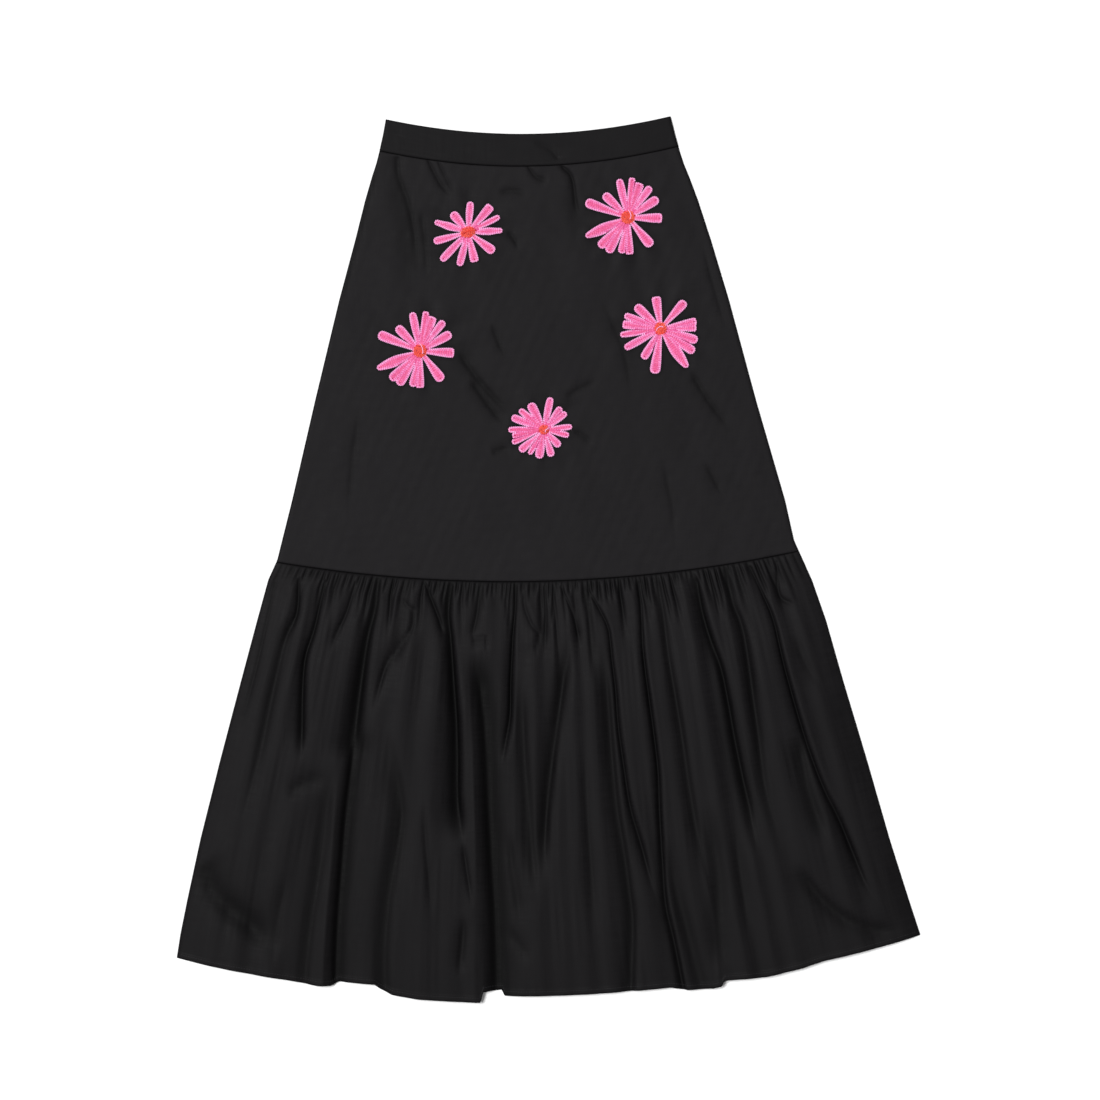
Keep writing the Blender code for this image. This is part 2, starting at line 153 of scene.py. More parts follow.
FLOUNCE_CREASES = (
    Crease(0.80, 2.2, 6, 0.2, 0, 0.4, ((-287, -24), (-289, -62), (-300, -86), (-308, -112))),
    Crease(0.50, 4.5, 10, 0.2, 0.15, 0.75, (
        (-298, -72), (-308, -112), (-321, -171), (-335, -240), (-354, -305), (-348, -342),
    )),
    Crease(0.75, 2.4, 6.5, 0.3, 0, 0.2, (
        (-257, -27), (-261, -46), (-269, -82), (-279, -112), (-282, -145), (-283, -194), (-284, -235),
    )),
    Crease(0.30, 4.5, 11, 0.0, 0.3, 0.4, ((-304, -276), (-284, -260), (-250, -250))),
    Crease(0.50, 1.6, 4.5, 0.2, 0, 0.3, ((-222, -28), (-232, -62), (-246, -92), (-252, -108))),
    Crease(1.00, 5.4, 11, 0.2, 0, 0.12, (
        (-196, -24), (-199, -55), (-208, -92), (-216, -145), (-223, -201), (-226, -236),
    )),
    Crease(0.85, 6.0, 14, -0.4, 0.10, 0, (
        (-221, -190), (-226, -236), (-233, -293), (-238, -359), (-242, -409), (-244, -458), (-245, -510),
    )),
    Crease(0.40, 6.0, 13, 0.3, 0.2, 0, (
        (-249, -234), (-254, -277), (-259, -326), (-269, -392), (-278, -458), (-281, -510),
    )),
    Crease(-0.10, 2.2, 5, 0.0, 0.3, 0, (
        (-240, -234), (-246, -293), (-250, -359), (-256, -425), (-260, -510),
    )),
    Crease(0.55, 2.2, 8.0, 0.2, 0.1, 0.4, (
        (-155, -52), (-157, -80), (-172, -104), (-187, -124), (-203, -181),
    )),
    Crease(0.45, 2.0, 6, 0.2, 0, 0.4, ((-313, -24), (-321, -59), (-335, -122), (-350, -179), (-361, -219))),
    Crease(0.40, 1.6, 5.0, 0.0, 0.3, 0.3, ((-170, -44), (-160, -56), (-148, -60))),
    Crease(0.50, 7.0, 14, 0.3, 0.25, 0, (
        (-185, -194), (-178, -234), (-171, -277), (-170, -303), (-178, -352), (-186, -402), (-189, -451),
        (-188, -510),
    )),
    Crease(0.25, 2.5, 7, 0.0, 0.3, 0.4, ((-143, -276), (-141, -326), (-137, -375), (-137, -418))),
    Crease(0.80, 1.8, 5, 0.0, 0, 0.3, ((-142, -28), (-135, -46), (-125, -72), (-119, -95))),
    Crease(1.00, 4.8, 10, 0.4, 0, 0.16, (
        (-112, -32), (-115, -62), (-112, -95), (-109, -138), (-106, -181), (-105, -227), (-105, -273),
        (-102, -306), (-99, -333),
    )),
    Crease(0.30, 1.5, 4, 0.0, 0.2, 0.4, ((-99, -325), (-91, -376), (-86, -402))),
    Crease(-0.09, 1.8, 4, 0.0, 0.2, 0.3, ((-91, -108), (-87, -227), (-84, -326), (-82, -402))),
    Crease(0.95, 8.5, 16, -0.25, 0.12, 0, (
        (-84, -102), (-79, -138), (-74, -181), (-71, -227), (-69, -277), (-67, -310), (-64, -359),
        (-61, -409), (-59, -510),
    )),
    Crease(0.40, 1.6, 3.5, 0.0, 0.2, 0.3, ((-90, -93), (-82, -95), (-73, -93), (-69, -104))),
    Crease(0.45, 1.5, 4, 0.2, 0, 0.3, ((-79, -33), (-82, -62), (-89, -95))),
    Crease(0.80, 1.6, 5, 0.35, 0, 0.25, (
        (-38, -30), (-38, -55), (-41, -95), (-43, -138), (-44, -181), (-49, -211), (-56, -247),
    )),
    Crease(0.45, 5.0, 11, 0.2, 0.25, 0.3, (
        (-33, -121), (-31, -168), (-28, -227), (-24, -277), (-21, -326), (-15, -376), (-10, -412),
    )),
    Crease(0.35, 1.5, 4, 0.0, 0.1, 0.3, (
        (-26, -34), (-28, -52), (-20, -75), (-11, -88), (-18, -105), (-38, -105),
    )),
    Crease(0.30, 4.0, 9, 0.0, 0.3, 0.3, ((-48, -310), (-38, -376), (-31, -425))),
    Crease(0.35, 3.0, 8, 0.0, 0.3, 0.3, ((-97, -409), (-99, -442), (-104, -480))),
    Crease(0.25, 3.0, 8, 0.0, 0.3, 0.4, ((-48, -425), (-28, -452), (-16, -460))),
    Crease(0.50, 1.4, 4, 0.0, 0, 0.4, ((-5, -32), (-3, -64), (-5, -115))),
    Crease(0.40, 1.4, 4, 0.0, 0, 0.4, ((6, -32), (4, -81))),
    Crease(0.50, 1.3, 3.5, 0.0, 0, 0.15, ((14, -32), (28, -64), (36, -98))),
    Crease(0.60, 4.5, 10, 0.3, 0.2, 0.25, (
        (24, -84), (21, -115), (14, -159), (7, -210), (0, -268), (-4, -312), (-8, -381),
    )),
    Crease(0.40, 2.2, 6, 0.0, 0, 0.5, ((41, -34), (45, -64), (50, -115), (52, -149))),
    Crease(0.60, 1.7, 5, 0.35, 0, 0.2, (
        (46, -37), (58, -57), (69, -81), (73, -115), (77, -149), (80, -190), (86, -234), (94, -285),
        (106, -326), (116, -364), (126, -401),
    )),
    Crease(0.55, 5.0, 10, 0.3, 0.2, 0, (
        (60, -81), (63, -115), (67, -156), (70, -197), (74, -244), (79, -292), (86, -336), (92, -381),
        (96, -421), (94, -510),
    )),
    Crease(0.70, 2.2, 6, 0.4, 0, 0, (
        (104, -28), (107, -67), (109, -108), (115, -156), (121, -200), (126, -244), (128, -295),
        (131, -346), (135, -398), (145, -442), (158, -510),
    )),
    Crease(0.40, 6.0, 12, 0.0, 0.25, 0, ((137, -319), (143, -370), (157, -421), (167, -455), (181, -510))),
    Crease(0.38, 4.0, 9, 0.2, 0, 0.3, (
        (126, -28), (132, -64), (137, -108), (145, -156), (154, -210), (161, -261), (169, -306),
        (178, -353), (188, -404),
    )),
    Crease(-0.09, 2.4, 6, 0.0, 0.3, 0, ((164, -296), (176, -353), (191, -415), (196, -510))),
    Crease(0.35, 7.0, 13, 0.0, 0.3, 0.2, ((181, -278), (188, -319), (195, -370), (194, -421), (200, -480))),
    Crease(0.85, 4.0, 9.5, 0.3, 0, 0.3, (
        (171, -26), (177, -60), (186, -91), (198, -125), (206, -163), (213, -203), (222, -248), (230, -285),
        (235, -319), (242, -353),
    )),
    Crease(0.55, 5.0, 10, 0.2, 0, 0.35, (
        (205, -14), (210, -47), (222, -77), (229, -115), (235, -163), (241, -210), (247, -261), (259, -312),
        (269, -364),
    )),
    Crease(0.70, 1.9, 6, 0.4, 0, 0.2, (
        (232, -10), (246, -40), (259, -71), (269, -115), (280, -156), (290, -190), (302, -227), (317, -265),
        (334, -299), (351, -340), (365, -374), (385, -401),
    )),
    Crease(0.50, 6.0, 12, 0.2, 0.2, 0.35, (
        (285, -197), (292, -238), (300, -272), (314, -312), (324, -336),
    )),
    Crease(0.60, 1.6, 5, 0.2, 0, 0.4, ((263, -4), (265, -40), (276, -50), (293, -55))),
    Crease(0.25, 3.5, 9, 0.0, 0.3, 0.4, ((280, -84), (297, -122), (317, -156))),
    Crease(0.45, 5.0, 11, 0.3, 0.2, 0.2, (
        (283, -350), (297, -370), (314, -391), (341, -413), (375, -425), (412, -425),
    )),
    Crease(0.70, 9.0, 18, -0.2, 0.1, 0.35, ((-404, -348), (-382, -388), (-350, -416), (-308, -455))),
    Crease(0.22, 4.0, 10, 0.2, 0.3, 0.4, ((-300, -360), (-312, -420), (-318, -480))),
    Crease(0.22, 4.0, 10, 0.2, 0.3, 0.4, ((212, -300), (222, -380), (230, -450))),
    Crease(0.22, 3.5, 10, 0.2, 0.3, 0.4, ((40, -200), (44, -290), (50, -380), (52, -450))),
    Crease(0.25, 5.0, 12, 0.2, 0.3, 0.4, ((330, -150), (345, -200), (369, -272))),
)

PANEL_CREASES = (
    Crease(0.40, 8.0, 15, 0.0, 0.2, 0.4, ((-180, 446), (-170, 400), (-163, 350), (-160, 290))),
    Crease(0.30, 8.0, 15, 0.0, 0.3, 0.4, ((-128, 430), (-126, 370), (-128, 310))),
    Crease(0.30, 6.0, 13, 0.0, 0.3, 0.4, ((20, 430), (30, 395), (34, 350))),
    Crease(0.75, 2.6, 9, 0.2, 0.05, 0.4, ((-174, 466), (-172, 440), (-161, 408), (-154, 370), (-151, 322))),
    Crease(0.55, 2.6, 9, 0.0, 0.2, 0.4, ((-148, 405), (-142, 365), (-140, 318))),
    Crease(0.7, 1.4, 5, 0.0, 0, 0.4, ((-138, 457), (-125, 432), (-109, 414))),
    Crease(0.5, 1.4, 4, 0.0, 0, 0.4, ((-126, 455), (-118, 438), (-107, 418))),
    Crease(0.7, 1.5, 5, 0.0, 0, 0.3, ((-23, 450), (-14, 439), (1, 434))),
    Crease(0.9, 1.8, 5, 0.2, 0, 0.4, ((16, 451), (27, 438), (32, 405), (38, 388))),
    Crease(0.55, 1.8, 5, 0.0, 0.3, 0.4, ((-60, 420), (-40, 423), (-20, 418))),
    Crease(0.6, 1.8, 5, 0.0, 0.3, 0.4, ((-50, 378), (-40, 368), (-34, 354))),
    Crease(0.8, 2.6, 9, 0.0, 0.15, 0.3, ((-106, 240), (-76, 200), (-42, 164))),
    Crease(0.7, 2.4, 8, 0.0, 0.2, 0.3, ((-91, 207), (-70, 178), (-50, 152))),
    Crease(0.5, 2.0, 6, 0.0, 0.3, 0.4, ((-66, 272), (-58, 250), (-48, 229))),
    Crease(0.7, 2.6, 9, 0.0, 0.2, 0.4, ((162, 219), (182, 185), (212, 145))),
    Crease(0.5, 2.0, 7, 0.0, 0.3, 0.4, ((179, 113), (190, 92), (202, 68))),
    Crease(0.5, 1.8, 5, 0.0, 0.2, 0.4, ((-66, 121), (-54, 125), (-43, 128))),
    Crease(0.5, 1.8, 5, 0.0, 0.2, 0.4, ((28, 148), (40, 141), (52, 131))),
    Crease(0.5, 1.8, 5, 0.0, 0.2, 0.4, ((18, 185), (38, 196), (60, 207))),
    Crease(0.4, 2.4, 9, 0.0, 0.3, 0.4, ((60, 300), (86, 240), (96, 180))),
    Crease(0.4, 2.4, 9, 0.0, 0.3, 0.4, ((-216, 180), (-226, 110), (-230, 40))),
    Crease(0.35, 2.4, 9, 0.0, 0.3, 0.4, ((130, 120), (142, 60), (146, 10))),
)

# Lines beside the panel's side seam, whose painted shade counts twice over
SIDE_CREASES = (
    Crease(0.46, 1.5, 4, 0.0, 0.1, 0.3, (
        (-195, 454), (-207.5, 412), (-219, 366), (-237.4, 297), (-245, 263),
    )),
    Crease(0.25, 1.5, 4, 0.0, 0.3, 0.3, ((176, 366), (190, 312), (205, 262))),
)

BAND_CREASES = (
    Crease(1.0, 1.4, 4, 0.0, 0.3, 0.1, ((-19, 480), (0, 472), (13, 458))),
    Crease(0.35, 2.0, 6, 0.0, 0.3, 0.3, ((-180, 494), (-168, 484), (-160, 474))),
)

# The back is not in the photo: plain gathers and long folds like those of the front
BACK_CREASES = (
    Crease(0.9, 3.0, 8, 0.0, 0, 0.4, ((-262, -20), (-286, -110), (-322, -300))),
    Crease(0.8, 3.0, 8, 0.0, 0, 0.5, ((-205, -22), (-222, -140), (-240, -250))),
    Crease(1.0, 4.0, 9, 0.0, 0, 0.4, ((-148, -27), (-158, -150), (-172, -330), (-178, -420))),
    Crease(0.8, 2.6, 8, 0.0, 0, 0.4, ((-84, -30), (-88, -120), (-94, -260))),
    Crease(1.0, 4.0, 9, 0.0, 0, 0.3, ((-22, -30), (-26, -170), (-38, -300), (-36, -440))),
    Crease(0.8, 3.0, 8, 0.0, 0, 0.4, ((34, -31), (38, -110), (44, -230))),
    Crease(0.9, 3.4, 9, 0.0, 0, 0.4, ((92, -25), (104, -160), (122, -340))),
    Crease(0.8, 3.0, 8, 0.0, 0, 0.5, ((150, -24), (166, -120), (190, -260))),
    Crease(1.0, 3.6, 9, 0.0, 0, 0.3, ((214, -14), (238, -140), (276, -330), (290, -400))),
    Crease(0.8, 2.6, 8, 0.0, 0, 0.4, ((262, -6), (290, -110), (328, -230))),
)

# Places along the hem and how far it hangs below its smooth line there
HEM_EDGE = (
    (-428, 0.0), (-300, 0.0), (-282, 0.8), (-265, 1.8), (-250, 0.0), (-241, -6.0), (-200, -7.0), (-194, -3.0),
    (-180, 3.0), (-150, 6.0), (-78, 7.0), (-75, -5.0), (-53, -7.5), (-51, -0.5), (100, 0.0), (140, 0.5),
    (160, 6.0), (190, 8.0), (199, 7.0), (202, 1.0), (215, 2.0), (250, 5.0), (290, 3.0), (315, 0.0),
    (428, 0.0),
)

ROUND = Form(0.48, 0.72, 0.90, 1.00, 0.96, 2.3)
CLUB = Form(0.44, 0.60, 0.80, 0.96, 1.00, 2.3)
BLUNT = Form(0.50, 0.66, 0.82, 0.95, 1.00, 4.5)
LEAF = Form(0.40, 0.76, 1.00, 0.86, 0.46, 2.0)
FULL = Form(0.66, 0.84, 0.96, 1.00, 1.00, 4.5)
WEDGE = Form(0.24, 0.46, 0.74, 0.94, 1.00, 2.3)
SLIM = Form(0.60, 0.80, 0.96, 1.00, 0.86, 2.3)
KNOB = Form(0.54, 0.86, 1.00, 0.80, 0.68, 2.4)

STARRY_PETALS = (
    Petal(-165, 41, 8.8, ROUND), Petal(-134, 45, 9.0, SLIM), Petal(-105, 40, 8.6, SLIM),
    Petal(-77.5, 35, 10.0, BLUNT), Petal(-37, 37.5, 11.0, CLUB), Petal(2.5, 39.5, 8.8, KNOB),
    Petal(26, 40.5, 6.8, SLIM), Petal(48.5, 40.5, 10.6, BLUNT), Petal(86, 35.5, 8.6, SLIM),
    Petal(129, 29.5, 10.4, ROUND), Petal(162, 40.5, 9.0, KNOB),
)
BROAD_PETALS = (
    Petal(-156, 53.5, 12.2, LEAF), Petal(-134.5, 47.5, 10.8, CLUB), Petal(-120.5, 46.5, 10.8, CLUB),
    Petal(-100, 42, 9.6, CLUB), Petal(-88, 42.5, 9.6, BLUNT), Petal(-51, 42.5, 11.8, CLUB),
    Petal(-1, 39, 11.4, BLUNT), Petal(32, 41, 10.6, ROUND), Petal(53.5, 44, 9.0, CLUB),
    Petal(71.5, 42, 11.0, FULL), Petal(83.5, 46, 7.4, FULL), Petal(103.7, 45.5, 9.2, SLIM),
    Petal(136, 39, 10.4, ROUND), Petal(160, 52, 11.6, CLUB),
)
SPREAD_PETALS = (
    Petal(-172, 47, 7.6, SLIM), Petal(-151.5, 47, 8.8, SLIM), Petal(-120, 40, 9.6, ROUND),
    Petal(-97.6, 52, 12.0, CLUB), Petal(-55.6, 54, 12.8, LEAF), Petal(-34, 47, 10.6, ROUND),
    Petal(-18, 44.5, 10.6, ROUND), Petal(1.5, 41, 8.4, BLUNT), Petal(13, 42, 8.8, BLUNT),
    Petal(49, 42.5, 10.8, CLUB), Petal(98.5, 37.5, 10.8, BLUNT), Petal(137, 39.5, 10.8, ROUND),
    Petal(159, 44.5, 8.6, SLIM), Petal(173.5, 44, 9.8, BLUNT),
)
CLOSE_PETALS = (
    Petal(-168, 37, 7.4, BLUNT), Petal(-158, 39.5, 6.8, WEDGE), Petal(-138.5, 37, 9.4, WEDGE),
    Petal(-120.5, 33, 6.4, SLIM), Petal(-101, 33.5, 10.0, ROUND), Petal(-74, 32, 8.8, CLUB),
    Petal(-46, 26.5, 8.6, ROUND), Petal(-12, 29.5, 7.0, ROUND), Petal(7, 32.5, 7.0, SLIM),
    Petal(38.5, 32.5, 8.0, SLIM), Petal(53, 32.5, 8.0, CLUB), Petal(79, 38, 8.6, SLIM),
    Petal(117, 34.5, 10.6, ROUND), Petal(140.5, 36.5, 7.8, SLIM), Petal(158.5, 40, 9.0, ROUND),
    Petal(179.5, 41, 7.4, SLIM),
)
BLOOMS = (
    Bloom(-92.4, 375.0, 0, 20.0, 13.4, 10, STARRY_PETALS,
          ((0.66, 186), (0.36, 176), (0.16, 110), (0.34, 22), (0.62, 6))),
    Bloom(91.5, 392.0, 0, 17.8, 16.4, 0, BROAD_PETALS, ((1.0, 86), (0.62, 62), (0.38, 22), (0.30, -30))),
    Bloom(-147.5, 238.5, -2, 17.2, 16.2, 0, BROAD_PETALS, ((1.0, 92), (0.60, 66), (0.36, 20), (0.44, -40))),
    Bloom(129.0, 264.0, 0, 15.4, 15.6, 0, SPREAD_PETALS, ((0.66, 196), (0.44, 160), (0.34, 110), (0.40, 44))),
    Bloom(-5.2, 148.0, 0, 12.6, 11.6, 0, CLOSE_PETALS, ((1.0, 22), (0.60, 14), (0.30, -20), (0.46, -58))),
)


def ease(share: np.ndarray) -> np.ndarray:
    """A smooth rise from 0 to 1 as share goes from 0 to 1."""
    share = np.clip(share, 0.0, 1.0)
    return share * share * (3.0 - 2.0 * share)


def mix(start: np.ndarray, end: np.ndarray, share: np.ndarray) -> np.ndarray:
    """The value that lies this share of the way from start to end."""
    return start + (end - start) * share


def bump(distance: np.ndarray, height: float, width: float) -> np.ndarray:
    """A rounded rise of this height at distance 0, nearly gone at twice its width."""
    return height * np.exp(-((distance / width) ** 2))


def smooth_path(points: tuple) -> np.ndarray:
    """A smooth line through points.

    Args:
        points: The pairs of values that it passes.

    Returns:
        One row for each point of the line.
    """
    given = np.asarray(points, dtype=float)
    ends = np.vstack([2 * given[0] - given[1], given, 2 * given[-1] - given[-2]])
    t = np.linspace(0.0, 1.0, PATH_STEPS, endpoint=False)[:, None]
    runs = [
        0.5 * (2 * b + (c - a) * t + (2 * a - 5 * b + 4 * c - d) * t**2 + (3 * b - a - 3 * c + d) * t**3)
        for a, b, c, d in zip(ends, ends[1:], ends[2:], ends[3:])
    ]
    return np.vstack([*runs, given[-1]])


def trough(crease: Crease, x: np.ndarray, y: np.ndarray) -> np.ndarray:
    """Share of a crease's depth at each place.

    Args:
        crease: The crease.
        x: Places across.
        y: Places along.

    Returns:
        1 in its middle, falling to 0 beside it and at faded ends.
    """
    path = smooth_path(crease.path)
    margin = CREASE_MARGIN * crease.reach
    low, high = path.min(axis=0) - margin, path.max(axis=0) + margin
    near = (x > low[0]) & (x < high[0]) & (y > low[1]) & (y < high[1])
    px, py = x[near], y[near]
    best = np.full(px.shape, np.inf)
    side, along_share = np.zeros(px.shape), np.zeros(px.shape)
    lengths = np.hypot(*np.diff(path, axis=0).T)
    run = 0.0
    for (x0, y0), (x1, y1), length in zip(path, path[1:], lengths):
        dx, dy = (x1 - x0) / length, (y1 - y0) / length
        along = np.clip((px - x0) * dx + (py - y0) * dy, 0.0, length)
        off_x, off_y = px - x0 - along * dx, py - y0 - along * dy
        distance = np.hypot(off_x, off_y)
        closer = distance < best
        best = np.where(closer, distance, best)
        side = np.where(closer, np.sign(off_y * dx - off_x * dy), side)
        along_share = np.where(closer, (run + along) / lengths.sum(), along_share)
        run += length
    spread = mix(*SEAM_SPREAD, along_share) if crease.start == 0.0 else FREE_SPREAD
    slant = spread * (1.0 - crease.lean * side)
    profile = bump(best, 0.5, crease.core * slant) + bump(best, 0.5, crease.reach * slant)
    if crease.start > 0.0:
        profile *= ease(along_share / crease.start)
    if crease.end > 0.0:
        profile *= 1.0 - ease((along_share - 1.0 + crease.end) / crease.end)
    share = np.zeros(x.shape)
    share[near] = profile
    return share


def creased(z: np.ndarray, creases: tuple, scale: float, x: np.ndarray, y: np.ndarray) -> np.ndarray:
    """Heights, lowered in creases by their depths times scale."""
    for crease in creases:
        z = z - scale * crease.depth * trough(crease, x, y)
    return z


def reduced(values: np.ndarray, creases: tuple, share: float, x: np.ndarray, y: np.ndarray) -> np.ndarray:
    """Values from 0 to 1, brought towards 0 in creases by this share of their depths."""
    for crease in creases:
        values = values * (1.0 - share * crease.depth * trough(crease, x, y))
    return values


@dataclass(frozen=True)
class Ripples:
    """Small uneven wrinkles: waves of many lengths, whose directions differ by up to spread in radians.

    A stretch under 1 draws them out down the skirt.
    """

    height: float
    shortest: float
    longest: float
    spread: float
    seed: int
    stretch: float = 1.0
    waves: int = 18

    def at(self, x: np.ndarray, y: np.ndarray) -> np.ndarray:
        """Their height at each place, in the units of height."""
        rng = np.random.default_rng(self.seed)
        total = np.zeros(x.shape)
        along = self.stretch * y
        for _ in range(self.waves):
            length = self.shortest * (self.longest / self.shortest) ** rng.random()
            way = self.spread * rng.uniform(-1.0, 1.0)
            phase = rng.uniform(0.0, 2.0 * math.pi)
            run = x * math.cos(way) + along * math.sin(way)
            total += np.sin(2.0 * math.pi * run / length + phase)
        return self.height * total / math.sqrt(self.waves)


@dataclass(frozen=True)
class Pattern:
    """The laid skirt's outline: rows of height, left edge and right edge, and the lines across it."""

    sides: tuple = (
        (508.9, -186.6, 140.3), (488.2, -190.3, 145.5), (467.5, -194.9, 151.2), (453.7, -198.4, 155.8),
        (439.9, -203.0, 161.6), (412.3, -211.0, 171.9), (366.3, -222.5, 186.9), (297.3, -240.9, 207.6),
        (182.3, -268.5, 238.6), (67.3, -295.0, 272.0), (21.3, -306.5, 282.3), (-1.7, -312.2, 292.7),
        (-24.7, -322.6, 303.0), (-70.7, -335.2, 319.1), (-139.7, -353.6, 338.7), (-231.7, -377.8, 366.3),
        (-323.7, -400.8, 392.7), (-392.7, -415.7, 414.6), (-433.0, -423.8, 427.8), (-459.4, -427.8, 427.8),
    )
    waist: Line = Line(505.4, 508.9, 18.7)
    band_seam: Line = Line(469.2, 474.4, 20.4)
    tier_seam: Line = Line(-4.0, 8.6, 28.5)
    hem: Line = Line(-459.4, -433.0, 56.2)
    fullness: float = 1.2

    def side_x(self, y: np.ndarray) -> tuple[np.ndarray, np.ndarray]:
        """Left and right side edges at each height."""
        heights, left, right = np.array(self.sides[::-1]).T
        return np.interp(y, heights, left), np.interp(y, heights, right)

    def place(
        self, top: Line, bottom: Line, across: np.ndarray, down: np.ndarray
    ) -> tuple[np.ndarray, np.ndarray]:
        """Places on the piece between two lines, by their shares across and down."""
        left_y, right_y = mix(top.left_y, bottom.left_y, down), mix(top.right_y, bottom.right_y, down)
        left_x, right_x = self.side_x(left_y)[0], self.side_x(right_y)[1]
        sag = mix(top.sag, bottom.sag, down) * 4.0 * across * (1.0 - across)
        return mix(left_x, right_x, across), mix(left_y, right_y, across) - sag

    def crown(self, x: np.ndarray, y: np.ndarray) -> np.ndarray:
        """Height of the smooth part's fullness above its side edges."""
        left, right = self.side_x(y)
        middle = (left + right) / 2.0
        return self.fullness * np.clip(1.0 - ((x - middle) / (right - middle)) ** 2, 0.0, 1.0)

    def from_side(self, x: np.ndarray, y: np.ndarray) -> np.ndarray:
        """Distance in from the nearer side edge."""
        left, right = self.side_x(y)
        return np.clip(np.minimum(x - left, right - x), 0.0, None)


def grid(columns: int, rows: np.ndarray) -> tuple[np.ndarray, np.ndarray]:
    """Shares across and down of an even grid's points, for rows at the given shares."""
    return np.meshgrid(np.linspace(0.0, 1.0, columns + 1), rows)


def graded(stations: tuple) -> np.ndarray:
    """Rows that lie closer in some stretches than in others.

    Args:
        stations: Pairs of a share down and the number of rows that lead up to it.

    Returns:
        The rows' shares, from the first station's to the last one's.
    """
    shares = [stations[0][0]]
    for (start, _), (end, count) in zip(stations, stations[1:]):
        shares += [start + (end - start) * step / count for step in range(1, count + 1)]
    return np.array(shares)


def nearby(values: np.ndarray, reach: int, pick: Callable) -> np.ndarray:
    """The lowest or highest value within a few steps of each place of a grid."""
    padded = np.pad(values, reach, mode="edge")
    rows, columns = values.shape
    span = range(2 * reach + 1)
    return pick(np.stack([padded[r : r + rows, c : c + columns] for r in span for c in span]), axis=0)


def widely(values: np.ndarray, reach: int) -> np.ndarray:
    """The even mean along each row of a grid, over twice this many columns."""
    for _ in range(2):
        padded = np.pad(values, ((0, 0), (reach + 1, reach)), mode="edge")
        total = np.cumsum(padded, axis=1)
        values = (total[:, 2 * reach + 1 :] - total[:, : -2 * reach - 1]) / (2 * reach + 1)
    return values


def ring(rows: int, columns: int) -> np.ndarray:
    """Indices round a grid's edge, counter-clockwise as seen from above."""
    index = np.arange(rows * columns).reshape(rows, columns)
    return np.concatenate([index[:-1, 0], index[-1, :-1], index[:0:-1, -1], index[0, :0:-1]])


def quads(rows: int, columns: int, start: int) -> np.ndarray:
    """Faces of a grid that look up, with indices from start."""
    index = np.arange(rows * columns).reshape(rows, columns) + start
    corners = (index[:-1, :-1], index[1:, :-1], index[1:, 1:], index[:-1, 1:])
    return np.stack([corner.ravel() for corner in corners], axis=1)


def add_object(name: str, mesh: bpy.types.Mesh) -> bpy.types.Object:
    """An object in the scene for a mesh."""
    piece = bpy.data.objects.new(name, mesh)
    bpy.context.scene.collection.objects.link(piece)
    return piece


def closed_wall(
    face: np.ndarray, back: np.ndarray, step: int, facing: Facing, start: int = 0
) -> tuple[np.ndarray, list]:
    """A closed wall between a fine finished face and a coarser hidden one.

    Args:
        face: The finished face's points by row and column, from its top left corner.
        back: The hidden face's points, one for every step-th row and column.
        step: How much coarser the hidden face is.
        facing: Which way the finished face looks.
        start: Index of the wall's first point.

    Returns:
        The points and the faces.
    """
    rows, columns = face.shape[:2]
    back_rows, back_columns = back.shape[:2]
    offset = start + rows * columns
    outer = ring(rows, columns) + start
    inner = ring(back_rows, back_columns) + offset
    faces = quads(rows, columns, start).tolist()
    faces += quads(back_rows, back_columns, offset)[:, ::-1].tolist()
    outer = np.append(outer, outer[0])
    inner = np.append(inner, inner[0])
    for index in range(len(inner) - 1):
        strip = outer[index * step : (index + 1) * step + 1]
        faces.append([int(inner[index]), int(inner[index + 1]), *map(int, strip[::-1])])
    if facing is Facing.DOWN:
        faces = [polygon[::-1] for polygon in faces]
    return np.vstack([face.reshape(-1, 3), back.reshape(-1, 3)]), faces


def make_mesh(
    name: str,
    points: np.ndarray,
    faces: list,
    grain: np.ndarray | None = None,
    painted_shade: np.ndarray | None = None,
) -> bpy.types.Mesh:
    """A smooth mesh from points in millimetres.

    Args:
        name: The mesh's name.
        points: Its points.
        faces: Lists of their indices.
        grain: Each point's place on the flat cloth in millimetres, for the weave to follow.
        painted_shade: How much painted shade each point has, from 0 to 1.

    Returns:
        The mesh.
    """
    mesh = bpy.data.meshes.new(name)
    mesh.from_pydata((points * MM).tolist(), [], faces)
    if grain is not None:
        layer = mesh.uv_layers.new(name="grain")
        corners = np.empty(len(mesh.loops), dtype=np.int32)
        mesh.loops.foreach_get("vertex_index", corners)
        layer.data.foreach_set("uv", (grain[corners] * MM).ravel())
    if painted_shade is not None:
        mesh.attributes.new("painted_shade", "FLOAT", "POINT").data.foreach_set("value", painted_shade.ravel())
    mesh.shade_smooth()
    mesh.update()
    return mesh


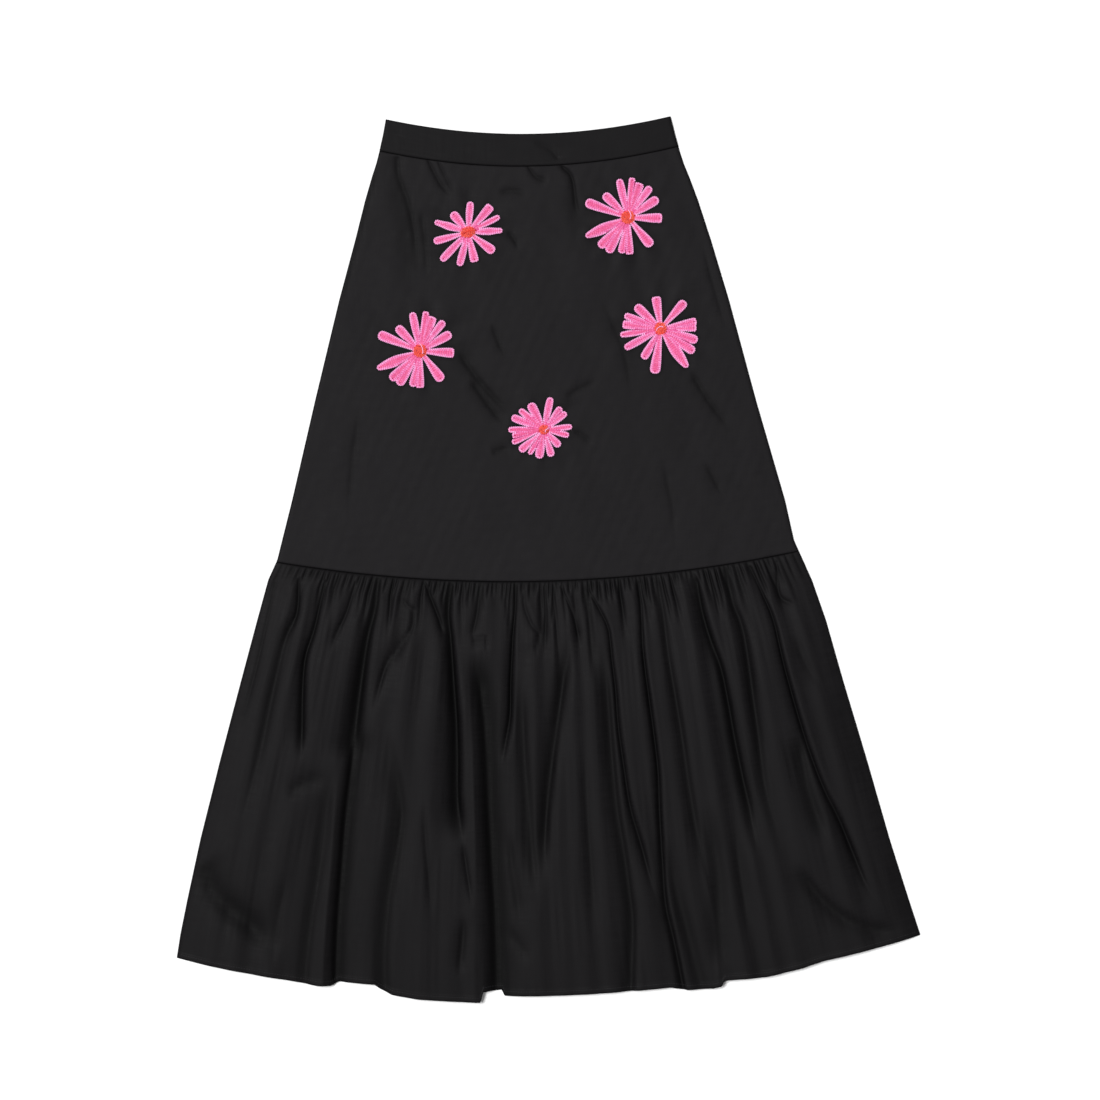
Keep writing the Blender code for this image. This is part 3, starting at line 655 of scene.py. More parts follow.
def cloth_piece(
    name: str,
    x: np.ndarray,
    y: np.ndarray,
    z: np.ndarray,
    grain: np.ndarray,
    wall: float,
    facing: Facing,
    shade: np.ndarray | float = 0.0,
    full_shade_depth: float = 4.0,
) -> bpy.types.Object:
    """A laid piece of cloth with its finished face at given places.

    Args:
        name: The piece's name.
        x: Places of the finished face across, by row and column.
        y: Its places along.
        z: Its heights.
        grain: Places on the flat cloth, by row and column.
        wall: Thickness of the cloth.
        facing: Which way the finished face looks.
        shade: Painted shade besides that of the folds, from 0 to 1.
        full_shade_depth: How far below its surroundings a point lies where its painted fold shade is full.

    Returns:
        The object.
    """
    step = HIDDEN_STEP
    inner = nearby(z, HIDDEN_REACH, np.min if facing is Facing.UP else np.max)
    face = np.stack([x, y, z], axis=2)
    back = np.stack([x, y, inner - facing.value * wall], axis=2)[::step, ::step]
    points, faces = closed_wall(face, back, step, facing)
    flat = np.vstack([grain.reshape(-1, 2), grain[::step, ::step].reshape(-1, 2)])
    # Painted shade: darker the further a point lies below its surroundings, joined with the given painted
    # shade, and strongest at the outermost points
    deep = np.clip(facing.value * (widely(z, SURROUNDINGS) - z) / full_shade_depth, 0.0, 1.0)
    deep = 1.0 - (1.0 - deep) * (1.0 - shade)
    for edge in (deep[:1], deep[-1:], deep[:, :1], deep[:, -1:]):
        edge[:] = np.maximum(edge, EDGE_SHADE)
    painted_shade = np.concatenate([deep.ravel(), deep[::step, ::step].ravel()])
    return add_object(name, make_mesh(name, points, faces, flat, painted_shade))


class NodeBench:
    """Adds nodes to a tree and links them."""

    def __init__(self, tree: bpy.types.NodeTree) -> None:
        """Keep the tree.

        Args:
            tree: The node tree to work on.
        """
        self.tree = tree

    def feed(self, node: bpy.types.Node, **inputs: object) -> bpy.types.Node:
        """Set or link a node's inputs.

        Args:
            node: The node.
            **inputs: Values or sockets by input name, with underscores for spaces, or by i0, i1 and so on.

        Returns:
            The node.
        """
        for key, value in inputs.items():
            by_place = key[0] == "i" and key[1:].isdigit()
            socket = node.inputs[int(key[1:])] if by_place else node.inputs[key.replace("_", " ")]
            if isinstance(value, bpy.types.NodeSocket):
                self.tree.links.new(value, socket)
            else:
                socket.default_value = value
        return node

    def add(self, kind: str, settings: dict | None = None, **inputs: object) -> bpy.types.Node:
        """A new node.

        Args:
            kind: The node's type.
            settings: Its own properties.
            **inputs: Its inputs, as feed takes them.

        Returns:
            The node.
        """
        node = self.tree.nodes.new(kind)
        for key, value in (settings or {}).items():
            setattr(node, key, value)
        return self.feed(node, **inputs)

    def maths(self, operation: str, *terms: object) -> bpy.types.NodeSocket:
        """The result of one operation on one to three terms."""
        given = {f"i{index}": term for index, term in enumerate(terms)}
        return self.add("ShaderNodeMath", {"operation": operation}, **given).outputs[0]

    def mean(self, first: object, second: object, share: float) -> bpy.types.NodeSocket:
        """The mean of two values, with this share of the second."""
        rest = self.maths("MULTIPLY", first, 1.0 - share)
        return self.maths("ADD", rest, self.maths("MULTIPLY", second, share))

    def blend(self, share: object, first: object, second: object) -> bpy.types.NodeSocket:
        """The colour that lies this share of the way from the first to the second."""
        return self.add("ShaderNodeMix", {"data_type": "RGBA"}, i0=share, i6=first, i7=second).outputs[2]

    def vector(self, **parts: object) -> bpy.types.NodeSocket:
        """A vector with these parts X, Y and Z."""
        return self.add("ShaderNodeCombineXYZ", **parts).outputs[0]

    def spin(self, angle: bpy.types.NodeSocket) -> bpy.types.NodeSocket:
        """A rotation by this angle about Z."""
        return self.add("FunctionNodeEulerToRotation", i0=self.vector(Z=angle)).outputs[0]

    def socket(self, name: str, kind: str, default: object = None) -> None:
        """A named input of the tree, with its default."""
        made = self.tree.interface.new_socket(name, in_out="INPUT", socket_type=kind)
        if default is not None:
            made.default_value = default

    def output(self, name: str, kind: str) -> None:
        """A named output of the tree."""
        self.tree.interface.new_socket(name, in_out="OUTPUT", socket_type=kind)


def new_material(name: str) -> tuple[bpy.types.Material, NodeBench, bpy.types.Node]:
    """A material, the bench for its nodes and its surface shader."""
    material = bpy.data.materials.new(name)
    material.use_nodes = True
    return material, NodeBench(material.node_tree), material.node_tree.nodes["Principled BSDF"]


@dataclass(frozen=True)
class PlainWeave:
    """The over-and-under of plain-woven threads, with thick and thin places along them."""

    threads_per_metre: float = 3200.0
    slub_across: float = 420.0
    slub_along: float = 26.0
    slub_contrast: float = 1.5
    relief: float = 0.6

    def group(self) -> bpy.types.NodeTree:
        """The weave as a shader group that puts out a height and a shade."""
        tree = bpy.data.node_groups.new("plain_weave", "ShaderNodeTree")
        bench = NodeBench(tree)
        bench.socket("Grain", "NodeSocketVector")
        bench.socket("Threads", "NodeSocketFloat", self.threads_per_metre)
        bench.socket("Slub Across", "NodeSocketFloat", self.slub_across)
        bench.socket("Slub Along", "NodeSocketFloat", self.slub_along)
        bench.output("Height", "NodeSocketFloat")
        bench.output("Shade", "NodeSocketFloat")
        given = bench.add("NodeGroupInput").outputs
        axes = bench.add("ShaderNodeSeparateXYZ", i0=given["Grain"]).outputs
        waves = []
        for axis in (axes["X"], axes["Y"]):
            turns = bench.maths("MULTIPLY", bench.maths("MULTIPLY", axis, given["Threads"]), math.pi)
            waves.append(bench.maths("SINE", turns))
        over = bench.maths("GREATER_THAN", bench.maths("MULTIPLY", *waves), 0.0)
        warp, weft = (bench.maths("ABSOLUTE", wave) for wave in waves)
        height = bench.maths(
            "ADD",
            bench.maths("MULTIPLY", warp, over),
            bench.maths("MULTIPLY", weft, bench.maths("SUBTRACT", 1.0, over)),
        )
        slubs = []
        for across, along in (("X", "Y"), ("Y", "X")):
            stretched = bench.vector(
                X=bench.maths("MULTIPLY", axes[across], given["Slub Across"]),
                Y=bench.maths("MULTIPLY", axes[along], given["Slub Along"]),
            )
            noise = bench.add("ShaderNodeTexNoise", {"noise_dimensions": "2D"}, Vector=stretched, Scale=1.0)
            slubs.append(noise.outputs[0])
        contrast = self.slub_contrast
        shade = bench.maths("MULTIPLY_ADD", bench.maths("ADD", *slubs), contrast, 0.5 - contrast)
        relief = bench.maths("ADD", bench.maths("MULTIPLY", height, self.relief), shade)
        bench.add("NodeGroupOutput", Height=relief, Shade=shade)
        return tree


@dataclass(frozen=True)
class Poplin:
    """Black plain-woven cotton, with painted shade in its folds and creases, round the flowers and at its
    edges.
    """

    name: str = "black_poplin"
    thin: tuple = (0.0072, 0.0065, 0.0074, 1.0)
    thick: tuple = (0.0115, 0.0105, 0.0117, 1.0)
    # Share of the thin colour that is left where the painted shade is full
    shaded_share: float = 0.07
    cloud_scale: float = 9.0
    cloud_share: float = 0.25
    roughness: tuple = (0.52, 0.64)
    specular: float = 0.07
    weave_strength: float = 0.6
    weave_depth: float = 0.00005

    def material(self, weave: bpy.types.NodeTree) -> bpy.types.Material:
        """The cloth's material.

        Args:
            weave: The plain weave's group.

        Returns:
            The material, whose weave follows the grain of each piece.
        """
        material, bench, shader = new_material(self.name)
        grain = bench.add("ShaderNodeUVMap", {"uv_map": "grain"}).outputs[0]
        woven = bench.add("ShaderNodeGroup", {"node_tree": weave}, Grain=grain).outputs
        place = bench.add("ShaderNodeTexCoord").outputs["Object"]
        cloud = bench.add("ShaderNodeTexNoise", Vector=place, Scale=self.cloud_scale, Detail=3.0).outputs[0]
        plain = bench.blend(bench.mean(woven["Shade"], cloud, self.cloud_share), self.thin, self.thick)
        # Painted shade: the cloth's colour darkens by the mesh's painted shade attribute
        painted_shade = bench.add("ShaderNodeAttribute", {"attribute_name": "painted_shade"}).outputs["Fac"]
        fully_shaded = tuple(self.shaded_share * part for part in self.thin[:3]) + (1.0,)
        low, high = self.roughness
        rough = bench.add("ShaderNodeMapRange", Value=woven["Shade"], To_Min=low, To_Max=high).outputs[0]
        normal = bench.add(
            "ShaderNodeBump", Strength=self.weave_strength, Distance=self.weave_depth, Height=woven["Height"]
        ).outputs[0]
        bench.feed(shader, Base_Color=bench.blend(painted_shade, plain, fully_shaded), Roughness=rough, Normal=normal,
                   Specular_IOR_Level=self.specular)
        return material


@dataclass(frozen=True)
class Thread:
    """A twisted embroidery or sewing thread, each stitch a little lighter or darker."""

    name: str
    dark: tuple
    light: tuple
    roughness: float = 0.5
    sheen: float = 0.04
    specular: float = 0.2
    twist: float = 1400.0
    fibre_share: float = 0.4
    fibre_strength: float = 0.5
    fibre_depth: float = 0.0001

    def material(self) -> bpy.types.Material:
        """The thread's material."""
        material, bench, shader = new_material(self.name)
        place = bench.add("ShaderNodeTexCoord").outputs["Object"]
        fibre = bench.add("ShaderNodeTexNoise", Vector=place, Scale=self.twist, Detail=2.0).outputs[0]
        tone = bench.add("ShaderNodeAttribute", {"attribute_name": "tone"}).outputs["Fac"]
        colour = bench.blend(bench.mean(tone, fibre, self.fibre_share), self.dark, self.light)
        normal = bench.add(
            "ShaderNodeBump", Strength=self.fibre_strength, Distance=self.fibre_depth, Height=fibre
        ).outputs[0]
        bench.feed(shader, Base_Color=colour, Normal=normal, Roughness=self.roughness,
                   Specular_IOR_Level=self.specular, Sheen_Weight=self.sheen)
        return material


class StitchSizes(NamedTuple):
    """A stitch's sizes: the first four in millimetres, and splay and unevenness in radians.

    pitch is the way from one stitch to the next, and splay turns a chain's two strands apart.
    """

    pitch: float
    length: float
    width: float
    height: float
    splay: float
    unevenness: float


@dataclass
class Needle:
    """Lays stitches along lines, one kind of stitch at a time."""

    trees: dict = field(default_factory=dict)
    strand_aside: float = 0.25

    def tree(self, kind: Stitch) -> bpy.types.NodeTree:
        """The geometry tree that sets one kind of stitch along every line of a mesh.

        Args:
            kind: The kind of stitch.

        Returns:
            The tree, with its sizes as inputs.
        """
        if kind in self.trees:
            return self.trees[kind]
        tree = bpy.data.node_groups.new(f"{kind.name.lower()}_stitches", "GeometryNodeTree")
        bench = NodeBench(tree)
        bench.socket("Geometry", "NodeSocketGeometry")
        for name in StitchSizes._fields:
            bench.socket(name.title(), "NodeSocketFloat")
        bench.socket("Seed", "NodeSocketInt", 1)
        bench.socket("Finish", "NodeSocketMaterial")
        bench.output("Geometry", "NodeSocketGeometry")
        given = bench.add("NodeGroupInput").outputs
        lines = bench.add("GeometryNodeMeshToCurve", Mesh=given["Geometry"]).outputs[0]
        steps = bench.add("GeometryNodeResampleCurve", {"mode": "LENGTH"}, Curve=lines, Length=given["Pitch"])
        strands = bench.add("GeometryNodeJoinGeometry")
        bead = bench.add("GeometryNodeMeshUVSphere", Segments=6, Rings=3, Radius=0.5).outputs[0]
        thick = bench.maths("DIVIDE", given["Width"], float(kind.value))
        size = bench.vector(X=given["Length"], Y=thick, Z=given["Height"])
        for side in (1.0, -1.0)[: kind.value]:
            aside = 0.0 if kind is Stitch.LAID else self.strand_aside * side
            strand = bench.add(
                "GeometryNodeTransform",
                Geometry=bead,
                Translation=bench.vector(Y=bench.maths("MULTIPLY", given["Width"], aside)),
                Rotation=bench.spin(bench.maths("MULTIPLY", given["Splay"], side)),
                Scale=size,
            )
            bench.feed(strands, i0=strand.outputs[0])
        smooth = bench.add("GeometryNodeSetShadeSmooth", Geometry=strands.outputs[0]).outputs[0]
        tangent = bench.add("GeometryNodeInputTangent").outputs[0]
        heading = bench.add("FunctionNodeAlignRotationToVector", {"axis": "X"}, Vector=tangent).outputs[0]
        wobble = bench.add(
            "FunctionNodeRandomValue",
            {"data_type": "FLOAT"},
            i2=bench.maths("MULTIPLY", given["Unevenness"], -1.0),
            i3=given["Unevenness"],
            Seed=given["Seed"],
        ).outputs[1]
        turned = bench.add(
            "FunctionNodeRotateRotation", {"rotation_space": "LOCAL"}, Rotation=heading, i1=bench.spin(wobble)
        ).outputs[0]
        placed = bench.add(
            "GeometryNodeInstanceOnPoints", Points=steps.outputs[0], Instance=smooth, Rotation=turned
        ).outputs[0]
        tone = bench.add("FunctionNodeRandomValue", {"data_type": "FLOAT"}, Seed=given["Seed"]).outputs[1]
        toned = bench.add(
            "GeometryNodeStoreNamedAttribute",
            {"data_type": "FLOAT", "domain": "INSTANCE"},
            Geometry=placed,
            Name="tone",
            Value=tone,
        ).outputs[0]
        whole = bench.add("GeometryNodeRealizeInstances", Geometry=toned).outputs[0]
        dressed = bench.add("GeometryNodeSetMaterial", Geometry=whole, Material=given["Finish"]).outputs[0]
        bench.add("NodeGroupOutput", Geometry=dressed)
        self.trees[kind] = tree
        return tree

    def sew(
        self, name: str, lines: list, kind: Stitch, finish: bpy.types.Material, seed: int, sizes: StitchSizes
    ) -> bpy.types.Object:
        """Stitches along lines, as one plain mesh.

        Args:
            name: The piece's name.
            lines: Arrays of points in millimetres.
            kind: The kind of stitch.
            finish: The thread's material.
            seed: Seed of their unevenness.
            sizes: The stitches' sizes.

        Returns:
            The object.
        """
        points = np.vstack(lines) * MM
        edges, first = [], 0
        for line in lines:
            edges += [(first + index, first + index + 1) for index in range(len(line) - 1)]
            first += len(line)
        mesh = bpy.data.meshes.new(name)
        mesh.from_pydata(points.tolist(), edges, [])
        piece = add_object(name, mesh)
        tree = self.tree(kind)
        inputs = [item for item in tree.interface.items_tree if item.in_out == "INPUT"]
        identifiers = {item.name: item.identifier for item in inputs}
        modifier = piece.modifiers.new("stitches", "NODES")
        modifier.node_group = tree
        for key, value in sizes._asdict().items():
            modifier[identifiers[key.title()]] = value if key in ("splay", "unevenness") else value * MM
        modifier[identifiers["Seed"]] = seed
        modifier[identifiers["Finish"]] = finish
        evaluated = piece.evaluated_get(bpy.context.evaluated_depsgraph_get())
        sewn = bpy.data.meshes.new_from_object(evaluated)
        piece.modifiers.remove(modifier)
        piece.data = sewn
        return piece


def join(name: str, pieces: list) -> bpy.types.Object:
    """One object from several, with their materials kept.

    Args:
        name: The name of the whole.
        pieces: The objects, which are used up.

    Returns:
        The joined object.
    """
    with bpy.context.temp_override(active_object=pieces[0], selected_editable_objects=pieces):
        bpy.ops.object.join()
    pieces[0].name = name
    return pieces[0]


@dataclass
class SmoothPieces:
    """The two waistbands and the two upper panels.

    A roll is how far the cloth turns under at an edge, and over what distance.
    """

    pattern: Pattern
    blooms: tuple
    wall: float = 0.7
    band_wall: float = 1.5
    rest: float = 2.7
    band_rest: float = 3.5
    columns: int = 300
    band_columns: int = 200
    side_slope: float = 22.0
    band_side_slope: float = 14.0
    side_roll: tuple = (1.0, 1.8)
    band_side_roll: tuple = (0.9, 1.6)
    back_side_roll: tuple = (0.5, 1.6)
    seam_roll: tuple = (0.55, 1.0)
    back_seam_share: float = 0.5
    undulation: Ripples = Ripples(0.26, 45.0, 130.0, 3.1, 11)
    band_undulation: float = 0.5
    crumple: Ripples = Ripples(0.09, 12.0, 34.0, 3.1, 12)
    crease_height: float = 2.4
    pucker_height: float = 0.6
    pucker_counts: tuple = (4, 13)
    pucker_waves: int = 5
    pucker_scale: float = 2.2
    pucker_place: float = 0.9
    pucker_width: float = 16.0
    # Painted shade: an even darkening of the pieces, the flowers' painted shadows and the creases' painted
    # shade on the panel, and the light left on the band
    shade: float = 0.08
    flower_shade: float = 0.66
    crease_shade: float = 0.5
    band_light: float = 0.62

    def puckers(self, x: np.ndarray, y: np.ndarray) -> np.ndarray:
        """Radial pulls in the cloth round each flower."""
        total = np.zeros(x.shape)
        for number, bloom in enumerate(self.blooms):
            rng = np.random.default_rng(40 + number)
            radius = np.hypot(x - bloom.x, y - bloom.y)
            angle = np.arctan2(y - bloom.y, x - bloom.x)
            wave = np.zeros(x.shape)
            for _ in range(self.pucker_waves):
                strength, count = rng.uniform(0.5, 1.0), rng.integers(*self.pucker_counts)
                wave += strength * np.sin(angle * count + rng.uniform(0.0, 6.3))
            edge = self.pucker_place * max(petal.length for petal in bloom.petals)
            total += bump(radius - edge, self.pucker_height * wave / self.pucker_scale, self.pucker_width)
        return total

    def panel_height(self, x: np.ndarray, y: np.ndarray) -> np.ndarray:
        """Height of the front panel's face."""
        z = self.rest + self.pattern.crown(x, y) + self.undulation.at(x, y) + self.crumple.at(x, y)
        z = creased(z + self.puckers(x, y), PANEL_CREASES, self.crease_height, x, y)
        inside = self.pattern.from_side(x, y)
        z = mix(self.rest, z, ease(inside / self.side_slope))
        return creased(z, SIDE_CREASES, self.crease_height, x, y) - bump(inside, *self.side_roll)

    def panel_light(self, x: np.ndarray, y: np.ndarray) -> np.ndarray:
        """Share of the light left by the painted shade in the panel's creases."""
        return reduced(np.ones(x.shape), PANEL_CREASES + 2 * SIDE_CREASES, self.crease_shade, x, y)

    def band_height(self, x: np.ndarray, y: np.ndarray) -> np.ndarray:
        """Height of the front band's face."""
        z = self.band_rest + self.pattern.crown(x, y) + self.band_undulation * self.undulation.at(x, y)
        z = creased(z, BAND_CREASES, 1.0, x, y)
        inside = self.pattern.from_side(x, y)
        z = mix(self.band_rest, z, ease(inside / self.band_side_slope))
        return z - bump(inside, *self.band_side_roll)

    def build(self, finish: bpy.types.Material, flowers: list) -> dict:
        """Make and dress the four pieces.

        Args:
            finish: The cloth's material.
            flowers: The flowers, whose painted shadows darken the cloth close round them.

        Returns:
            The objects by node name.
        """
        pattern = self.pattern
        band_rows = graded(((0.0, 0), (0.06, 3), (0.94, 14), (1.0, 3)))
        panel_rows = graded(((0.0, 0), (0.008, 4), (0.4, 90), (0.992, 118), (1.0, 4)))
        plan = (
            ("waistband", grid(self.band_columns, band_rows), pattern.waist, pattern.band_seam,
             self.band_height, self.band_wall),
            ("panel", grid(self.columns, panel_rows), pattern.band_seam, pattern.tier_seam,
             self.panel_height, self.wall),
        )
        made = {}
        for name, (across, down), top, bottom, height, wall in plan:
            x, y = pattern.place(top, bottom, across, down)
            depth = mix(top.left_y - bottom.left_y, top.right_y - bottom.right_y, across)
            grain = np.stack([x, -down * depth], axis=2)
            rolled = bump(down * depth, *self.seam_roll) + bump((1.0 - down) * depth, *self.seam_roll)
            # Painted shade: the band's light share, and on the panel the flowers' painted shadows and the
            # creases' painted shade
            light = self.band_light
            if name == "panel":
                dark = np.max([flower.shadow(x, y) for flower in flowers], axis=0)
                light = (1.0 - self.flower_shade * dark) * self.panel_light(x, y)
            shade = 1.0 - (1.0 - self.shade) * light
            front = cloth_piece(
                f"{name}_front_cloth", x, y, height(x, y) - rolled, grain, wall, Facing.UP, shade
            )
            under = self.back_seam_share * rolled + bump(pattern.from_side(x, y), *self.back_side_roll)
            coarse = (values[::2, ::2] for values in (x, y, under, grain))
            back = cloth_piece(f"{name}_back_cloth", *coarse, wall, Facing.DOWN)
            for side, piece in (("front", front), ("back", back)):
                piece.data.materials.append(finish)
                made[f"{name}_{side}"] = piece
        return made


@dataclass
class Gathers:
    """The short, uneven gathers just below the seam."""

    pitch: tuple = (4.0, 9.0)
    length: tuple = (20.0, 84.0)
    depth: tuple = (0.5, 1.0)
    width: tuple = (1.0, 2.0)
    seed: int = 5
    drift: float = 0.05
    widening: float = 1.6

    def keep(self, across: np.ndarray, below: np.ndarray, seam: float, span: np.ndarray) -> np.ndarray:
        """Share of the fullness that the gathers leave.

        Args:
            across: Shares across the flounce.
            below: Distances below the seam.
            seam: The seam's length.
            span: The flounce's width at each place.

        Returns:
            1 between gathers, and less in them.
        """
        rng = np.random.default_rng(self.seed)
        left = np.ones(across.shape)
        place = rng.uniform(*self.pitch)
        while place < seam - self.pitch[0]:
            length = mix(*self.length, rng.random() ** 2.0)
            depth, width = rng.uniform(*self.depth), rng.uniform(*self.width)
            drift = rng.uniform(-self.drift, self.drift)
            away = np.abs((across - place / seam) * span - drift * below)
            fade = 1.0 - ease(below / length)
            left *= 1.0 - bump(away, depth * fade, width * (1.0 + self.widening * below / length))
            place += rng.uniform(*self.pitch)
        return left


@dataclass
class Flounce:
    """The gathered lower tier, front and back.

    A roll is how far the cloth turns under at an edge, and over what distance. Slopes and falls are
    the distances over which a form fades towards an edge or away from the seam.
    """

    pattern: Pattern
    wall: float = 0.7
    rest: float = 2.7
    columns: int = 664
    back_columns: int = 480
    length: float = 482.0
    seam_length: float = 605.0
    cut_width: float = 990.0
    spring: float = 3.8
    spring_length: float = 5.0
    billow: float = 6.4
    billow_length: float = 150.0
    settling: float = 0.12
    side_slope: float = 26.0
    side_power: float = 1.2
    crown_fall: float = 120.0
    side_roll: tuple = (1.0, 1.8)
    seam_roll: tuple = (0.5, 0.9)
    gathers: Gathers = field(default_factory=Gathers)
    long_gathers: Gathers = field(
        default_factory=lambda: Gathers((11.0, 26.0), (45.0, 150.0), (0.15, 0.5), (1.5, 3.4), 6)
    )
    back_gathers: Gathers = field(default_factory=lambda: Gathers(seed=9))
    wrinkle_width: float = 700.0
    fine: Ripples = Ripples(0.10, 6.0, 16.0, 0.10, 21, 0.12)
    patches: Ripples = Ripples(0.6, 60.0, 160.0, 3.1, 22)
    patch_middle: float = 0.5
    patch_most: float = 1.4
    crumple: Ripples = Ripples(0.25, 28.0, 80.0, 1.2, 23, 0.5)
    rolls: Ripples = Ripples(0.55, 20.0, 58.0, 0.12, 24, 0.10)
    wrinkle_fall: float = 30.0
    wrinkle_side_slope: float = 20.0
    hem_width: float = 6.5
    hem_thickness: float = 0.35
    hem_slope: float = 1.2
    hem_roll: tuple = (0.5, 0.9)
    hem_swing: float = 90.0
    stitch_inset: float = 0.8
    stitch_dent: tuple = (0.22, 0.8)
    stitch_lift: float = 0.12
    back_stitch_lift: float = 0.02
    back_raise: float = 9.0
    back_share: float = 0.75
    back_air: float = 1.2
    back_side_slope: float = 12.0
    back_side_roll: tuple = (0.5, 1.6)
    back_seam_roll: tuple = (0.35, 1.2)
    # Painted shade over the flounce, growing from the seam to the hem, and in its gathers and creases
    shade: tuple = (0.27, 0.43)
    crease_shade: float = 0.88
    full_shade_depth: float = 11.0

    def fullness(self, below: np.ndarray, inside: np.ndarray) -> np.ndarray:
        """How high the cloth stands between creases, by the distances below the seam and from the side."""
        risen = self.spring * (1.0 - np.exp(-below / self.spring_length))
        risen += self.billow * ease(below / self.billow_length)
        side = 1.0 - np.exp(-((inside / self.side_slope) ** self.side_power))
        return risen * side * (1.0 - self.settling * below / self.length)

    def front_keep(self, across: np.ndarray, below: np.ndarray, x: np.ndarray, y: np.ndarray) -> np.ndarray:
        """Share of the fullness that the front's gathers and creases leave, at the places of front_height."""
        left, right = self.pattern.side_x(y)
        keep = self.gathers.keep(across, below, self.seam_length, right - left)
        keep = keep * self.long_gathers.keep(across, below, self.seam_length, right - left)
        return reduced(keep, FLOUNCE_CREASES, 1.0, x, y)

    def front_height(
        self, keep: np.ndarray, across: np.ndarray, below: np.ndarray, x: np.ndarray, y: np.ndarray
    ) -> np.ndarray:
        """Height of the front flounce's face.

        Args:
            keep: Share of the fullness that is left.
            across: Shares across the flounce.
            below: Distances below the seam.
            x: Places across the skirt.
            y: Places along it.

        Returns:
            The heights.
        """
        inside = self.pattern.from_side(x, y)
        flat_x = across * self.wrinkle_width
        patches = np.clip(self.patch_middle + self.patches.at(flat_x, below), 0.0, self.patch_most)
        wrinkles = self.fine.at(flat_x, below) * patches
        wrinkles += self.crumple.at(flat_x, below) + self.rolls.at(flat_x, below)
        soft = ease(below / self.wrinkle_fall) * ease(inside / self.wrinkle_side_slope)
        held = self.pattern.crown(x, y) * (1.0 - ease(below / self.crown_fall))
        z = self.rest + held + self.fullness(below, inside) * keep + wrinkles * soft
        return np.maximum(z, self.rest) - bump(inside, *self.side_roll)

    def sewn_dent(self, above: np.ndarray) -> np.ndarray:
        """How far the hem's stitching pulls the cloth in, by the distance up from the hem's edge."""
        return bump(above - self.hem_width + self.stitch_inset, *self.stitch_dent)

    def hem_step(self, above: np.ndarray) -> np.ndarray:
        """Extra height of the turned hem, by the distance up from its edge."""
        doubled = 1.0 - ease((above - self.hem_width) / self.hem_slope)
        return self.hem_thickness * doubled - bump(above, *self.hem_roll) - self.sewn_dent(above)

    def rows(self) -> np.ndarray:
        """Shares down of the rows: close at the seam and at the hem."""
        return graded(((0.0, 0), (0.018, 8), (0.13, 26), (0.968, 62), (0.984, 6), (1.0, 10)))

    def stitch_line(self, x: np.ndarray, y: np.ndarray, z: np.ndarray, above: np.ndarray) -> np.ndarray:
        """The line of the hem's stitching: the row of points that lies nearest to it."""
        row = int(np.argmin(np.abs(above[:, 0] - self.hem_width + self.stitch_inset)))
        return np.stack([x, y, z], axis=2)[row, 4:-4]

    def front(self) -> tuple[bpy.types.Object, np.ndarray]:
        """The front layer and the line of its hem's stitching."""
        across, down = grid(self.columns, self.rows())
        x, y = self.pattern.place(self.pattern.tier_seam, self.pattern.hem, across, down)
        below, above = down * self.length, (1.0 - down) * self.length
        swing = ease((below - self.length + self.hem_swing) / self.hem_swing)
        y = y - np.interp(x, *np.array(HEM_EDGE).T) * swing
        keep = self.front_keep(across, below, x, y)
        z = self.front_height(keep, across, below, x, y) + self.hem_step(above) - bump(below, *self.seam_roll)
        grain = np.stack([(across - 0.5) * self.cut_width, -below], axis=2)
        # Painted shade in the gathers and creases, and over the flounce, more towards the hem
        light = 1.0 - self.crease_shade * (1.0 - np.clip(keep, 0.0, 1.0))
        light *= 1.0 - mix(*self.shade, down)
        piece = cloth_piece(
            "flounce_front_cloth", x, y, z, grain, self.wall, Facing.UP, 1.0 - light, self.full_shade_depth
        )
        return piece, self.stitch_line(x, y, z + self.stitch_lift, above)

    def back(self) -> tuple[bpy.types.Object, np.ndarray]:
        """The back layer, raised into the front's folds, and the line of its hem's stitching."""
        across, down = grid(self.back_columns, self.rows()[::2])
        hem = self.pattern.hem.raised(self.back_raise)
        x, y = self.pattern.place(self.pattern.tier_seam, hem, across, down)
        below, above = down * self.length, (1.0 - down) * self.length
        inside = self.pattern.from_side(x, y)
        left, right = self.pattern.side_x(y)
        keep = self.back_gathers.keep(across, below, self.seam_length, right - left)
        keep = reduced(keep, BACK_CREASES, 1.0, x, y)
        front = self.front_height(self.front_keep(across, below, x, y), across, below, x, y)
        room = nearby(front - 2.0 * self.wall - self.back_air, HIDDEN_REACH, np.min)
        lifted = (1.0 - keep) * self.back_share * self.fullness(below, inside)
        under = np.clip(lifted, 0.0, np.clip(room, 0.0, None)) * ease(inside / self.back_side_slope)
        under += bump(inside, *self.back_side_roll)
        under += bump(below, *self.back_seam_roll)
        under += self.sewn_dent(above)
        grain = np.stack([(across - 0.5) * self.cut_width, -below], axis=2)
        piece = cloth_piece("flounce_back_cloth", x, y, under, grain, self.wall, Facing.DOWN)
        return piece, self.stitch_line(x, y, under + self.back_stitch_lift, above)

    def build(self, finish: bpy.types.Material) -> tuple[dict, dict]:
        """Make and dress both layers.

        Args:
            finish: The cloth's material.

        Returns:
            The objects by node name, and the lines of the hem's stitching by side.
        """
        pieces, hems = {}, {}
        for side, make in (("front", self.front), ("back", self.back)):
            piece, hems[side] = make()
            piece.data.materials.append(finish)
            pieces[f"flounce_{side}"] = piece
        return pieces, hems


class Lobe(NamedTuple):
    """A petal on its flower: where it points, its sizes and form, its bend and the gaps beside it."""

    angle: float
    root: float
    length: float
    half: float
    form: Form
    bend: float
    gap_before: float
    gap_after: float


